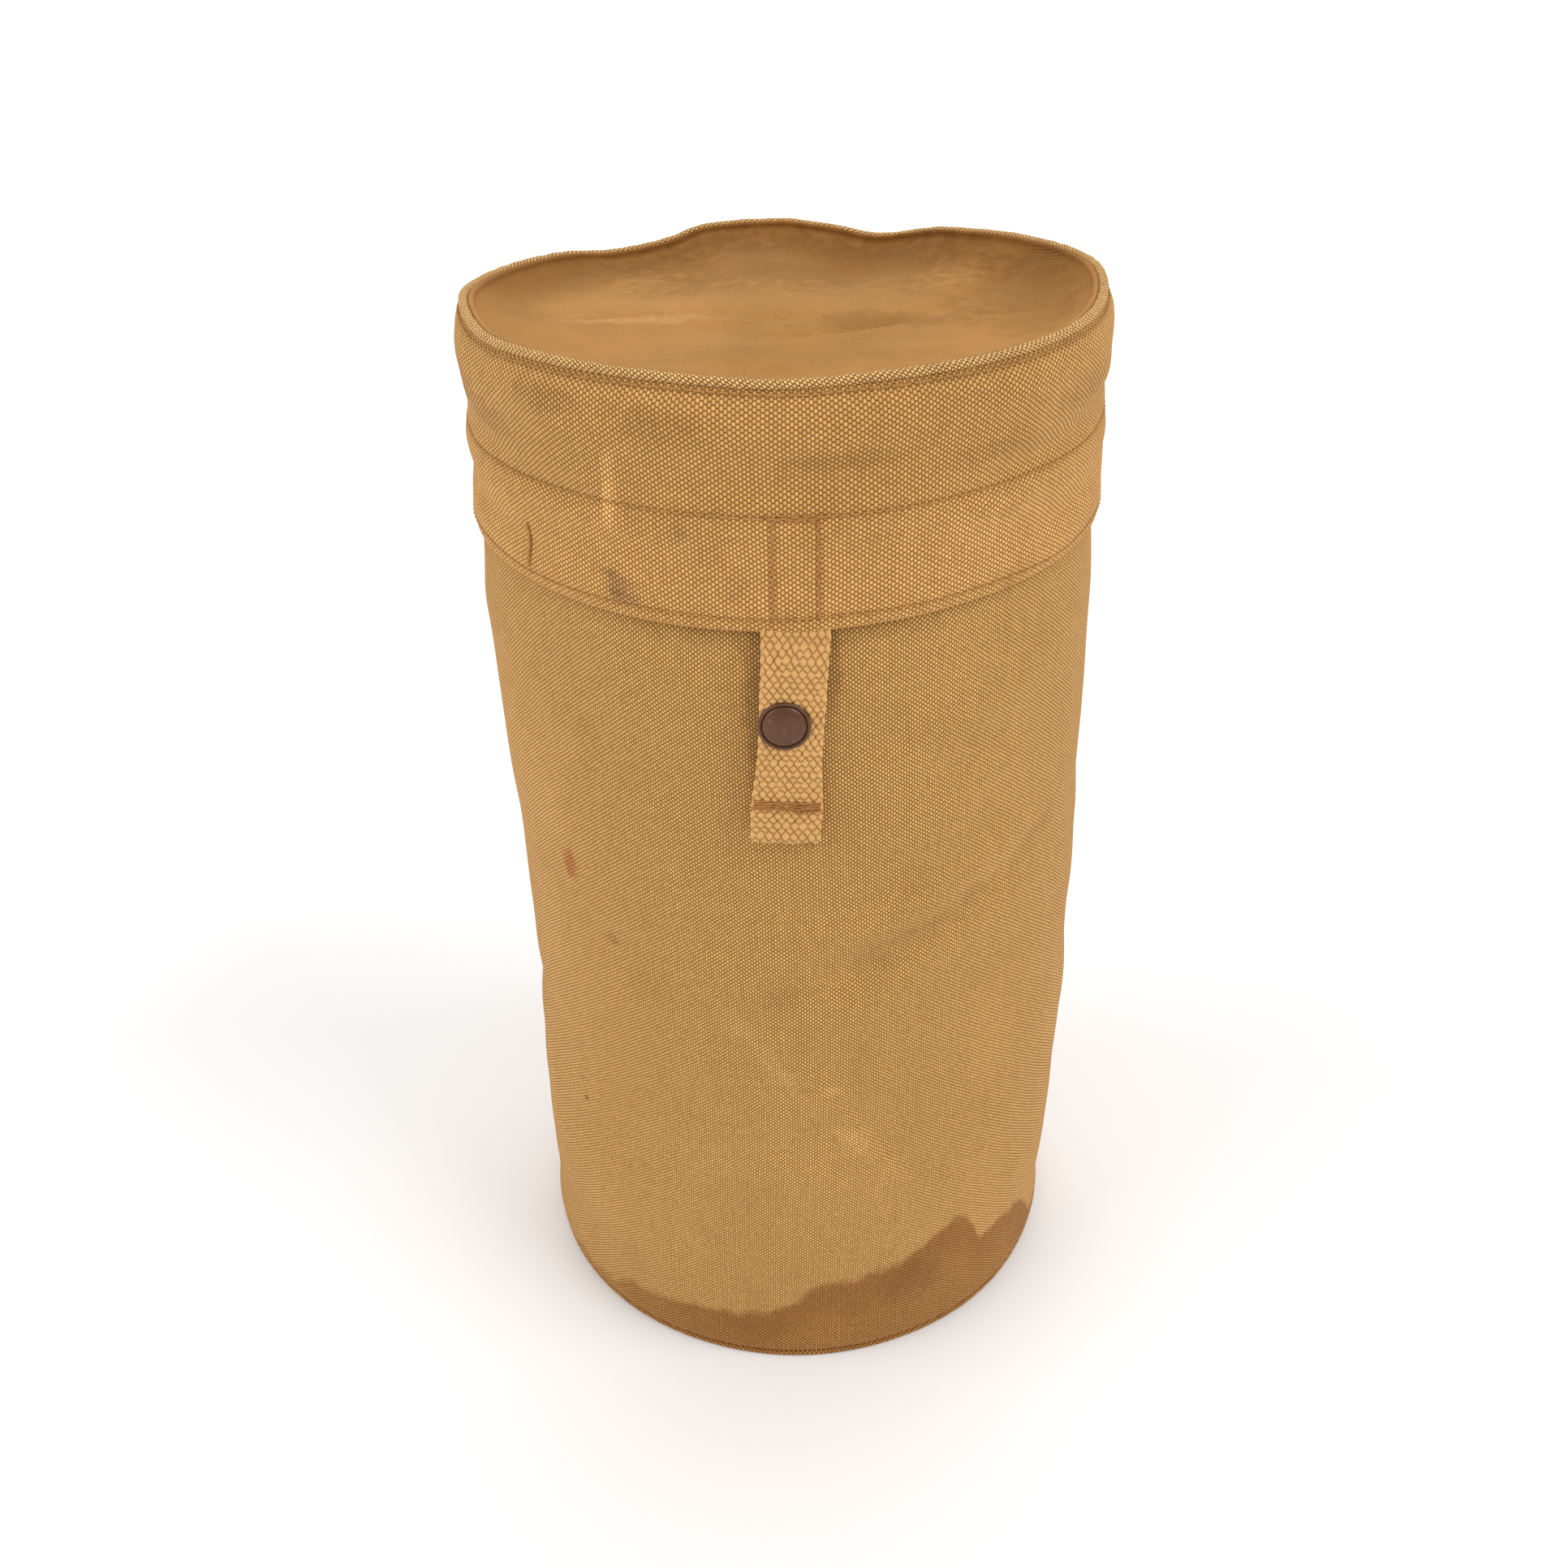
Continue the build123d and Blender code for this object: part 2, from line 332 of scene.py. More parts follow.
def beads(across, along, seed):
    """Height of the webbing's face: fat and thin beads in turn, each a little out of place."""
    rng = np.random.default_rng(seed)
    uneven = rng.uniform(-1, 1, (4, 41, 83))
    fat = (0.0, 0.0, 1.15, 1.52, 0.66)
    thin = (WARP_PITCH, PICK_PITCH, 1.09, 1.42, 0.56)
    heights = []
    for x0, y0, half_x, half_y, tall in (fat, thin):
        column = np.floor((across - x0) / (2 * WARP_PITCH) + 0.5)
        row = np.floor((along - y0) / (2 * PICK_PITCH) + 0.5)
        off_x, off_y, bigger, taller = 1.6 * uneven[:, column.astype(int) % 41, row.astype(int) % 83]
        dx = across - x0 - column * 2 * WARP_PITCH - 0.10 * off_x
        dy = along - y0 - row * 2 * PICK_PITCH - 0.20 * off_y
        size = 1 + 0.07 * bigger
        dx = dx + 0.16 * dy
        inside = np.clip(1 - (dx / half_x / size) ** 2 - (np.abs(dy) / half_y / size) ** 2.3, 0, 1)
        heights.append(tall * (1 + 0.13 * taller) * inside ** 0.5)
    return np.maximum(np.maximum(*heights) - 0.72 * np.minimum(*heights), 0.02)


def webbing(name, anchors, side, width, thickness, spacing, across_spacing, seed, widths=((0, 1), (1, 1))):
    """Strap along a smooth path, with a beaded weave on both faces and rounded selvedges."""
    path, along = spline_path(anchors, spacing)
    ahead = np.gradient(path, axis=0)
    ahead = ahead / np.linalg.norm(ahead, axis=-1, keepdims=True)
    side = np.broadcast_to(side, path.shape)
    side = side - ahead * (side * ahead).sum(axis=-1, keepdims=True)
    side = side / np.linalg.norm(side, axis=-1, keepdims=True)
    out = np.cross(ahead, side)
    count = int(width / across_spacing) + 1
    place = np.linspace(-width / 2, width / 2, count)
    edge = np.clip(1 - np.abs(place / (width / 2)) ** 14, 0, 1) ** 0.5
    wave = smooth_line(along, widths) + 0.012 * np.sin(along / PICK_PITCH * math.pi)
    wave = wave + 0.006 * ripples(0, along, seed, (1, 2), 30)
    thick = smooth_line(along, thickness)
    pitch_noise = 0.25 * ripples(0, along, seed + 7, (1, 3), 14)
    bead = beads(place[None, :] + 0 * along[:, None], along[:, None] + pitch_noise[:, None], seed)
    bead = bead * np.minimum(thick / 1.8, 1)[:, None]
    half = (thick[:, None] / 2 - BEAD_SINK + bead) * edge[None, :]
    half = np.maximum(half, SELVEDGE)
    spread = path[:, None] + side[:, None] * (place[None, :] * wave[:, None])[..., None]
    face = spread + out[:, None] * half[..., None]
    back = spread - out[:, None] * half[..., None]
    grid = np.concatenate([face, back[:, ::-1]], axis=1)
    uv = np.zeros((len(path), grid.shape[1] + 1, 2))
    uv[:, :-1, 0] = np.concatenate([place, place[::-1]])
    uv[:, -1, 0] = place[0]
    uv[..., 1] = along[:, None]
    piece = skin(name, grid, uv)
    heights = np.concatenate([bead, bead[:, ::-1]], axis=1).ravel()
    relief = piece.data.attributes.new("relief", "FLOAT", "POINT")
    relief.data.foreach_set("value", np.append(heights, [0.0, 0.0]).astype(np.float32))
    return piece


def lathe(name, profile, origin, direction):
    """Turned piece: profile is (radius, distance along direction) pairs."""
    direction = Vector(direction).normalized()
    turn = direction.to_track_quat("Z", "Y").to_matrix()
    angles = np.linspace(0, 2 * math.pi, LATHE_STEPS, endpoint=False)
    rows = []
    for radius, far in profile:
        ring = np.stack([radius * np.cos(angles), radius * np.sin(angles), 0 * angles + far], axis=-1)
        rows.append(ring @ np.array(turn.transposed()) + np.array(origin))
    grid = np.array(rows)
    uv = np.zeros((len(profile), LATHE_STEPS + 1, 2))
    uv[..., 0] = np.append(angles, 2 * math.pi)[None, :] * 5
    uv[..., 1] = np.append(0, np.cumsum(np.hypot(*np.diff(np.array(profile), axis=0).T)))[:, None]
    return skin(name, grid, uv)


# ---- The pouch ----

WALL_PROFILE = [
    (2, 96.4), (3.2, 97.6), (6, 98.2), (12, 97.8), (22, 97.5), (36, 97.9), (61, 98.4), (86, 98.3),
    (118, 98.1), (155, 98.3), (200, 98.4), (235, 98.5), (262, 98.1), (HEM - 12, 97.8),
    (HEM - 5, 97.2), (HEM, 96.1), (HEM + 8, 95.2), (MOUTH, 94.5),
]
WALL_LEAN = [
    (0, -1.2), (33, -0.9), (59, -0.3), (84, 0.4), (110, 1.4), (140, 1.4), (175, 1.4),
    (213, 0.5), (250, -0.4), (HEM, -0.8), (MOUTH, -0.8),
]


def wall_radius(deg, z):
    radius = smooth_line(z, WALL_PROFILE)
    calm = step(z, 4, 16) * (1 - step(z, HEM - 26, HEM - 4))
    radius = radius + 0.55 * calm * ripples(deg, z, 3, (1, 5), 150)
    radius = radius + 0.22 * calm * ripples(deg, z, 8, (5, 13), 60)
    radius = radius + round_fold(deg, z, (-5, 167), (58, 208), 7, 1.9)
    radius = radius - round_fold(deg, z, (-10, 160), (28, 62), 3.5, 0.8)
    radius = radius + round_fold(deg, z, (-70, 110), (-98, 126), 7, 1.1)
    radius = radius + round_fold(deg, z, (-12, 190), (-46, 168), 8, 0.7)
    radius = radius + round_fold(deg, z, (14, 232), (60, 262), 8, 0.8)
    radius = radius + round_fold(deg, z, (-20, 96), (24, 120), 9, 0.7)
    radius = radius + round_fold(deg, z, (-76, 258), (-40, 240), 8, 0.9)
    radius = radius + round_fold(deg, z, (120, 90), (190, 130), 9, 1.2)
    radius = radius + round_fold(deg, z, (150, 210), (235, 180), 9, 1.1)
    return radius


def wall_surface(deg, z):
    return on_wall(deg, wall_radius(deg, z), z, smooth_line(z, WALL_LEAN))


def make_wall():
    degrees = round_columns(360)
    heights = np.concatenate([np.linspace(2, 10, 10), np.linspace(11.5, HEM - 22, 92),
                              np.linspace(HEM - 20, MOUTH, 28)])
    outer = wall_surface(degrees[None, :], heights[:, None])
    hem = CANVAS + CANVAS * step(heights, MOUTH - 15.5, MOUTH - 14.5)
    return cloth_tube("pouch_wall", degrees, outer, hem)


def make_seam_lap():
    """The wall's overlapped edges, felled down, as a low ridge up the back."""
    heights = np.linspace(12, MOUTH - 14, 150)
    offsets = np.linspace(-5.5, 5.5, 23)
    raised = 0.9 * np.clip(1 - np.abs(offsets / 5.5) ** 10, 0, 1) ** 0.5
    degrees = BACK_SEAM + np.degrees(offsets / WALL_R)
    z = heights[:, None]
    near = wall_radius(degrees[None, :], z)
    shift = smooth_line(z, WALL_LEAN)
    pull = 0.07 * ripples(0, z, 21, (1, 3), 9)
    pressed = 1 - 0.6 * step(z, HEM - 3, HEM + 3)
    face = on_wall(degrees[None, :], near + raised[None, :] * (1 + pull) * pressed, z, shift)
    back = on_wall(degrees[None, :], near - 0.4, z, shift)
    grid = np.concatenate([face, back[:, ::-1]], axis=1)
    uv = np.zeros((len(heights), grid.shape[1] + 1, 2))
    uv[:, :-1, 0] = np.concatenate([offsets, offsets[::-1]])
    uv[:, -1, 0] = offsets[0]
    uv[..., 1] = heights[:, None]
    return skin("back_seam", grid, uv)


def make_base():
    """Flat base, its edge turned up into the seam. The turned edge shows as a thin roll."""
    degrees = round_columns(360)
    shift = smooth_line(0.0, WALL_LEAN)
    edge = 97.6 + 0.25 * ripples(degrees, 0, 5, (2, 9), 50)
    rows = []
    for radius in np.linspace(3, 90, 24):
        pucker = 0.12 * bump(radius, 90, 9) * np.cos(np.radians(degrees) * 46)
        rows.append(on_wall(degrees, radius + 0 * degrees, 0.05 + np.abs(pucker), shift))
    for t in np.linspace(-math.pi / 2, math.pi / 2, 9):
        rows.append(on_wall(degrees, edge - 1.1 + 1.1 * math.cos(t), 1.15 + 1.1 * math.sin(t), shift))
    inner = edge - 2.6
    rows.append(on_wall(degrees, inner, 2.6 + 0 * degrees, shift))
    rows.append(on_wall(degrees, inner - 0.2, 11 + 0 * degrees, shift))
    rows.append(on_wall(degrees, inner - 1.2, 11 + 0 * degrees, shift))
    rows.append(on_wall(degrees, inner - 1.4, 2.4 + 0 * degrees, shift))
    for radius in np.linspace(90, 3, 12):
        rows.append(on_wall(degrees, radius + 0 * degrees, 1.3, shift))
    grid = np.array(rows)
    return disc_skin("base", grid, degrees)


def disc_skin(name, grid, degrees, turned=0.0):
    """Closed shell whose rows start and end at the middle, with a flat weave laid across it."""
    lengths = profile_lengths(grid)
    half = int(np.argmax(grid[:, 0, 1] ** 2 + grid[:, 0, 0] ** 2))
    far = np.where(np.arange(len(grid)) <= half, lengths, 2 * lengths[half] - lengths)
    far = far + math.hypot(grid[0, 0, 0], grid[0, 0, 1])
    rad = np.radians(np.append(degrees, degrees[0] + 360) + turned)
    uv = np.stack([far[:, None] * np.sin(rad)[None, :], -far[:, None] * np.cos(rad)[None, :]], axis=-1)
    return skin(name, grid, uv)


def make_binding():
    degrees = round_columns(240)
    heights = np.linspace(binding_low[2], binding_high[2], 14)
    shift = smooth_line(0.0, WALL_LEAN)
    radius = binding_high[0] - 2.0 + 0.12 * ripples(degrees[None, :], heights[:, None], 6, (20, 40), 20)
    outer = on_wall(degrees[None, :], radius, heights[:, None], shift)
    return cloth_tube("base_seam_tape", degrees, outer, 0.8)


def make_patch():
    """Square backing patch inside the wall, behind the stud."""
    width = patch_high[0] - patch_low[0]
    heights = np.linspace(patch_low[2], patch_high[2], 24)
    offsets = np.linspace(-width / 2, width / 2, 25)
    degrees = np.degrees(offsets / (WALL_R - 3))
    z = heights[:, None]
    radius = wall_radius(degrees[None, :], z) - CANVAS
    shift = smooth_line(z, WALL_LEAN)
    face = on_wall(degrees[None, :], radius - 1.0, z, shift)
    back = on_wall(degrees[None, :], radius - 0.05, z, shift)
    grid = np.concatenate([face, back[:, ::-1]], axis=1)
    uv = np.zeros((len(heights), grid.shape[1] + 1, 2))
    uv[:, :-1, 0] = np.concatenate([offsets, offsets[::-1]])
    uv[:, -1, 0] = offsets[0]
    uv[..., 1] = heights[:, None]
    return skin("stud_backing_patch", grid, uv)


def wall_line(degrees, heights, lift=0.0, surface=wall_surface):
    """Points along a line on a round wall, with their outward directions."""
    points = surface(degrees, heights)
    nudge = 0.2
    across = surface(degrees + nudge, heights) - surface(degrees - nudge, heights)
    up = surface(degrees, heights + nudge) - surface(degrees, heights - nudge)
    out = np.cross(across, up)
    out = out / np.linalg.norm(out, axis=-1, keepdims=True)
    return points + out * lift, out


# ---- The cap ----

CAP_PROFILE = [
    (HEM, 98.7), (HEM + 4, 99.2), (HEM + 10, 99.0), (HEM + 16, 98.5), (HEM + 21, 98.3),
    (HEM + 27, 98.9), (HEM + BAND - 1, 98.6), (HEM + 35, 98.2), (HEM + 40, 97.8), (HEM + 46, 98.4),
    (HEM + 51, 99.2), (HEM + 56, 99.6), (HEM + 60, 99.0), (RIM - 5.6, 98.0), (RIM - 4.2, 97.0),
    (RIM - 3.0, 96.2), (RIM - 2.4, 95.4),
]
CAP_SHIFT = -0.8
TOP_TURN = 16             # the top panel's weave is turned a little from straight
ROLL_R = 95.0
ROLL = 1.38
BAND_LINE = HEM + BAND + 0.2
HEM_LINE = 3.3
RIM_STITCH = RIM - 3.7
NECK = RIM - 2.4
BAND_COUNT = 196          # stitches in one turn of each row
HEM_COUNT = 190
RIM_COUNT = 206


# The standing rim isn't level: it sags in two places behind and stands up on the right.
RIM_LINE = [
    (-180, 361.8), (-169, 361.6), (-163, 361), (-156, 358), (-148, 356.7), (-142, 356.8), (-131, 359.3),
    (-116, 361), (-102, 362.3), (-80, 364.7), (-60, 362.5), (-45, 363.2), (-13, 363), (-3, 362.3),
    (14, 363), (45, 363.2), (69, 363.7), (90, 366), (105, 365.3), (119, 364.2), (129, 363.4),
    (137, 362.4), (145, 361.4), (152, 359.2), (156, 357.9), (160, 357.5), (167, 359.3), (174, 360.8),
    (180, 361.8),
]


def rim_height(deg):
    turned = (np.asarray(deg, float) + 180) % 360 - 180
    return smooth_line(turned, RIM_LINE)


def hem_height(deg):
    """The hem dips a little at the front, where the strap pulls it down."""
    return HEM + 2.6 - 3.0 * turn_bump(deg, -6, 42)


def cap_bulge(deg, level):
    """Relief of the cap's side. level is the height as if hem and rim were level."""
    calm = step(level, HEM - 1, HEM + 5) * (1 - step(level, RIM - 7.5, RIM - 4))
    relief = 0.55 * calm * ripples(deg, level, 12, (1, 5), 70)
    relief = relief + 0.30 * calm * ripples(deg, level, 15, (5, 14), 34)
    relief = relief + round_fold(deg, level, (-75, HEM + 40), (-28, HEM + 31), 4.5, 1.3)
    relief = relief + round_fold(deg, level, (28, HEM + 34), (84, HEM + 42), 4.5, 1.5)
    relief = relief + round_fold(deg, level, (-8, HEM + 38), (28, HEM + 50), 5, 0.7)
    relief = relief + round_fold(deg, level, (40, HEM + 14), (80, HEM + 20), 4, 0.9)
    relief = relief + round_fold(deg, level, (-84, HEM + 19), (-40, HEM + 12), 4, 0.9)
    relief = relief + round_fold(deg, level, (115, HEM + 40), (190, HEM + 34), 6, 1.4)
    relief = relief + round_fold(deg, level, (185, HEM + 16), (240, HEM + 24), 6, 1.2)
    relief = relief - 0.40 * bump(level, BAND_LINE, 1.2) - 0.30 * bump(level, HEM + HEM_LINE, 1.0)
    return relief + root_bulge(deg, level)


def root_bulge(deg, level):
    """The band stands out a little over the front strap's root, less along its box of stitches."""
    arc = (((deg - ROOT_DEG) + 180) % 360 - 180) * math.radians(1) * CAP_R
    inside = 1 - step(np.abs(arc), 7.5, 12)
    height = 1 - step(level, HEM + BAND - 4, HEM + BAND + 1)
    sewn = bump(np.abs(arc), 6.2, 0.8) * (1 - step(level, HEM + BAND - 2, HEM + BAND))
    return inside * height * 0.9 - 0.35 * sewn


def cap_height(deg, level):
    """Real height of a level on the cap's side, between the wavy hem and the wavy rim."""
    share = np.clip((level - HEM) / (RIM - HEM), 0, 1)
    return level + (hem_height(deg) - HEM) * (1 - share) ** 2 + (rim_height(deg) - RIM) * share ** 1.5


def cap_surface(deg, level):
    radius = smooth_line(level, CAP_PROFILE) + cap_bulge(deg, level)
    return on_wall(deg, radius, cap_height(deg, level), CAP_SHIFT)


def cap_columns():
    """Columns of the cap's side, closer together beside the front strap's stitches."""
    fine = np.arange(ROOT_DEG - 7, ROOT_DEG + 7, 0.25)
    even = round_columns(430)
    apart = np.abs(even - ROOT_DEG) > 7.3
    return np.sort(np.concatenate([even[apart], fine]))


def cap_levels():
    """Rows of the cap's side from hem to neck, closer together beside its stitch lines."""
    even = np.arange(HEM, NECK, 1.0)
    near = [np.arange(line - 1.8, line + 1.8, 0.36) for line in (HEM + HEM_LINE, BAND_LINE, RIM_STITCH)]
    keep = np.ones(len(even), bool)
    for line in near:
        keep &= (even < line[0] - 0.3) | (even > line[-1] + 0.3)
    levels = np.concatenate([even[keep], *near, [HEM, NECK]])
    return np.unique(np.clip(levels, HEM, NECK))


def length_up(level):
    """Distance up the cap's side from the hem to a level, as its weave is laid out."""
    levels = cap_levels()
    front = cap_surface(np.zeros(len(levels)), levels)
    far = np.append(0, np.cumsum(np.linalg.norm(np.diff(front, axis=0), axis=1)))
    return float(np.interp(level, levels, far))


def make_skirt():
    """Side of the cap, its top edge turned in under the rolled rim."""
    degrees = cap_columns()
    levels = cap_levels()
    outer = cap_surface(degrees[None, :], levels[:, None])
    top = rim_height(degrees)
    tuck = [
        on_wall(degrees, ROLL_R - 0.2 + 0 * degrees, top - ROLL - 0.7, CAP_SHIFT),
        on_wall(degrees, ROLL_R - 0.4 + 0 * degrees, top - 4.2, CAP_SHIFT),
    ]
    inner_levels = np.linspace(RIM - 6, HEM, 36)
    inner = cap_surface(degrees[None, :], inner_levels[:, None])
    inner = inner - surface_normals(inner[::-1])[::-1] * CANVAS
    low = round_edge(outer, inner[::-1])
    grid = np.concatenate([outer, np.array(tuck), inner, low[::-1]])
    front = np.argmin(np.abs(degrees))
    lengths = profile_lengths(np.concatenate([grid, grid[:1]])[:, front:])
    return skin("cap_side", grid, round_uv(degrees, lengths), ring=True)


def make_rim():
    """Rolled edge where the side and the top are turned together and sewn."""
    degrees = round_columns(600)
    top = rim_height(degrees)
    fat = ROLL * (1 + 0.05 * ripples(degrees, 0, 31, (20, 90), 50))
    turns = np.linspace(-math.pi / 2, 1.5 * math.pi, 18, endpoint=False)
    rows = []
    for t in turns:
        rows.append(on_wall(degrees, ROLL_R + fat * math.cos(t), top - ROLL + fat * math.sin(t), CAP_SHIFT))
    uv = round_uv(degrees, np.append(turns, 1.5 * math.pi) * ROLL)
    uv[..., 0] += 0.35 * uv[..., 1]
    return skin("cap_rim", np.array(rows), uv, ring=True)


def make_facing():
    """Second layer of canvas inside the band."""
    degrees = round_columns(300)
    levels = np.linspace(HEM + 0.4, HEM + BAND, 24)
    outer = cap_surface(degrees[None, :], levels[:, None])
    arc = (((degrees - ROOT_DEG) + 180) % 360 - 180) * math.radians(1) * CAP_R
    room = CANVAS + 0.1 + 0.75 * (1 - step(np.abs(arc), 9.6, 13))
    outer = outer - surface_normals(outer) * room[None, :, None]
    return cloth_tube("cap_band_lining", degrees, outer, 0.7)


def top_height(x, y):
    """Sag and folds of the sunk top panel, as a drop below the rim, in millimetres."""
    deg = np.degrees(np.arctan2(x, -y))
    far = np.hypot(x, y) / 92.0
    depth = 8.6 + 1.2 * turn_bump(deg, 80, 60) - 2.2 * turn_bump(deg, 215, 60)
    power = 5 + 6 * turn_bump(deg, 75, 60) + 2 * turn_bump(deg, 0, 60) + 6 * turn_bump(deg, 275, 45)
    sink = depth * (1 - np.clip(far, 0, 1) ** power)
    soft = 1 - np.clip(far, 0, 1) ** 8
    folds = fold(x, y, (84, 50), (38, -4), 5.5, 2.2) + fold(x, y, (44, 4), (-12, -26), 5.0, 2.4)
    folds = folds - fold(x, y, (-84, 15), (-4, -8), 4.5, 1.6) + fold(x, y, (-70, 44), (-10, 26), 7, 1.0)
    folds = folds + fold(x, y, (-30, -52), (34, -60), 8, 0.8) + fold(x, y, (10, 70), (60, 52), 7, 1.0)
    wave = 0.5 * np.sin(x / 17 + 0.6) * np.cos(y / 21 - 0.4) + 0.28 * np.sin(x / 8 - y / 11)
    return sink - soft * (folds + wave)


def make_top():
    """Top panel: a shallow sagging dish whose edge is turned up and rolled inside the rim."""
    degrees = round_columns(360)
    top = rim_height(degrees) - 0.5
    small = 0.95 * (1 + 0.06 * ripples(degrees, 0, 37, (12, 60), 50))
    flange = ROLL_R - ROLL - 0.9
    rad = np.radians(degrees)
    rows = []
    for radius in np.concatenate([np.linspace(3, 78, 48), np.linspace(79.4, flange - 1.2, 14)]):
        x, y = radius * np.sin(rad), -radius * np.cos(rad)
        share = step(radius, 20, 90)
        level = (RIM - 2.6) * (1 - share) + (top - 1.9) * share
        rows.append(on_wall(degrees, radius + 0 * degrees, level - top_height(x, y), CAP_SHIFT))
    upper = np.array(rows)
    roll = [on_wall(degrees, flange + small * math.cos(t), top - 0.95 + small * math.sin(t), CAP_SHIFT)
            for t in np.radians(np.linspace(205, -60, 12))]
    under = upper[::-1] - np.array([0, 0, CANVAS])
    outer = on_wall(degrees, flange - 0.2 + 0 * degrees, under[0, :, 2], CAP_SHIFT)
    grid = np.concatenate([upper, np.array(roll), outer[None], under])
    return disc_skin("cap_top", grid, degrees, turned=TOP_TURN)


# ---- Straps ----

LEAN = math.radians(3.6)
STRAP_X = math.sin(math.radians(ROOT_DEG)) * CAP_R - 0.9
STRAP_TOP = HEM + 0.6     # distances down the front strap start here


def strap_point(down, depth):
    """A point on the front strap's middle line: distance down it and in front of the pouch's axis."""
    return (STRAP_X - math.tan(LEAN) * max(down, 0), -depth, STRAP_TOP - down)


def make_front_strap():
    face = STRAP_FACE - 1.0
    down = STRAP_TOP - STRAP_END
    anchors = [
        strap_point(-26, 97.2), strap_point(-12, 97.35), strap_point(-2, 97.5), strap_point(2, 98.9),
        strap_point(8, 101.4), strap_point(16, 102.6), strap_point(27, face), strap_point(40, face + 0.2),
        strap_point(down - 12, face + 0.1), strap_point(down - 5, face + 0.3),
        strap_point(down - 0.9, face), strap_point(down, face - 1.1),
        strap_point(down - 1.2, face - 2.1), strap_point(down - 12, face - 2.1),
    ]
    thickness = [(0, 0.8), (24, 0.8), (30, 2.0), (78, 2.0), (112, 1.8)]
    widths = [(0, 1), (26, 1), (50, 0.965), (70, 0.98), (79, 1.07), (84, 1.08), (93, 1.07), (110, 1.05)]
    side = (math.cos(LEAN), 0, -math.sin(LEAN))
    return webbing("front_strap", anchors, side, WEB_W, thickness, 0.24, 0.235, seed=4, widths=widths)


def make_hinge_strap():
    """One length of webbing from the cap's band to the pouch, behind."""
    out = 1.0
    top = rear_top_high[2]
    low = rear_low[2]
    anchors = []
    for z in (top, top - 10, HEM + 12, HEM + 7):
        anchors.append((CAP_SHIFT * 0.5, cap_surface(np.array(180.0), np.array(z))[1] + out + 0.1, z))
    anchors.append((0, CAP_R + 2.0, HEM + 2))
    anchors.append((0, CAP_R + 1.6, HEM - 3))
    for z in (HEM - 14, HEM - 24, low + 20, low):
        anchors.append((0, wall_surface(np.array(180.0), np.array(z))[1] + out + 0.1, z))
    return webbing("hinge_strap", anchors, (-1, 0, 0), WEB_W, [(0, 2.0), (200, 2.0)], 0.36, 0.36, seed=9)


def strap_line(down, across, lift=0.0):
    """Points across or down the front strap's outer face."""
    x = STRAP_X - np.tan(LEAN) * down + across * math.cos(LEAN)
    z = STRAP_TOP - down - across * math.sin(LEAN)
    return np.stack([x, 0 * x - STRAP_FACE - lift, z], axis=-1)


def make_tip_bar():
    """Bar of brown thread sewn to and fro across the strap above its folded end."""
    down = STRAP_TOP - 1.2 - (bar_low[2] + bar_high[2]) / 2
    across = np.linspace(-WEB_W / 2 - 0.8, WEB_W / 2 + 0.7, 60)
    parts = []
    for k, offset in enumerate((-1.5, -1.2, -0.9, -0.6, -0.3, 0.0, 0.3, 0.6, 0.9, 1.25)):
        drift = 0.22 * np.sin(across / 4.2 + k * 2.1) + 0.02 * across * (k % 3 - 1)
        lift = 0.30 + 0.16 * (k % 2) + 0.15 * np.sin(across / 2.3 + k)
        line = strap_line(down + offset + drift, across, lift)
        out = np.broadcast_to([0.0, -1.0, 0.0], line.shape)
        pitch = (6.4, 9.6, 4.9)[k % 3]
        parts.append(sewn_row(f"tip_thread_{k}", line, out, pitch, 0.48, seed=60 + k, rings=12))
    knot_at = strap_line(np.array([down + 0.9]), np.array([5.0]), 0.3)[0]
    turn = np.linspace(0, 6 * math.pi, 90)
    coil = np.stack([1.9 * np.cos(turn) * (1 - turn / 30), -0.2 - 0.02 * turn,
                     0.9 * np.sin(turn * 1.3)], axis=-1)
    out = np.broadcast_to([0.0, -1.0, 0.0], coil.shape)
    parts.append(sewn_row("tip_knot", coil + knot_at, out, 3.0, 0.45, seed=70))
    return join("tip_stitches", parts)


def join(name, parts):
    """One object from several meshes."""
    work = bmesh.new()
    for part in parts:
        work.from_mesh(part.data)
    mesh = bpy.data.meshes.new(name)
    work.to_mesh(mesh)
    work.free()
    for part in parts:
        bpy.data.objects.remove(part)
    mesh.shade_smooth()
    piece = bpy.data.objects.new(name, mesh)
    bpy.context.scene.collection.objects.link(piece)
    return piece


def make_fray():
    """Short loose fibres at the strap's lower corners."""
    rng = np.random.default_rng(17)
    down = STRAP_TOP - STRAP_END
    parts = []
    for k in range(44):
        across = rng.choice([-1, 1, 1, 1]) * rng.uniform(5.5, 10.2)
        at = np.array([down - rng.uniform(0, 1.6)])
        start = strap_line(at, np.array([across]), -rng.uniform(0.2, 1.6))[0]
        length = rng.uniform(1.2, 3.0)
        aim = np.array([rng.normal(0, 0.35), -rng.uniform(0, 0.35), -1.0])
        curl = rng.normal(0, 0.5, 3)
        t = np.linspace(0, 1, 8)[:, None]
        line = start + aim * t * length + curl * t ** 2 * length * 0.4
        out = np.broadcast_to([0.0, -1.0, 0.0], line.shape)
        parts.append(sewn_row(f"fibre_{k}", line, out, length, 0.17, seed=k, sides=4, rings=6))
    return join("strap_fray", parts)


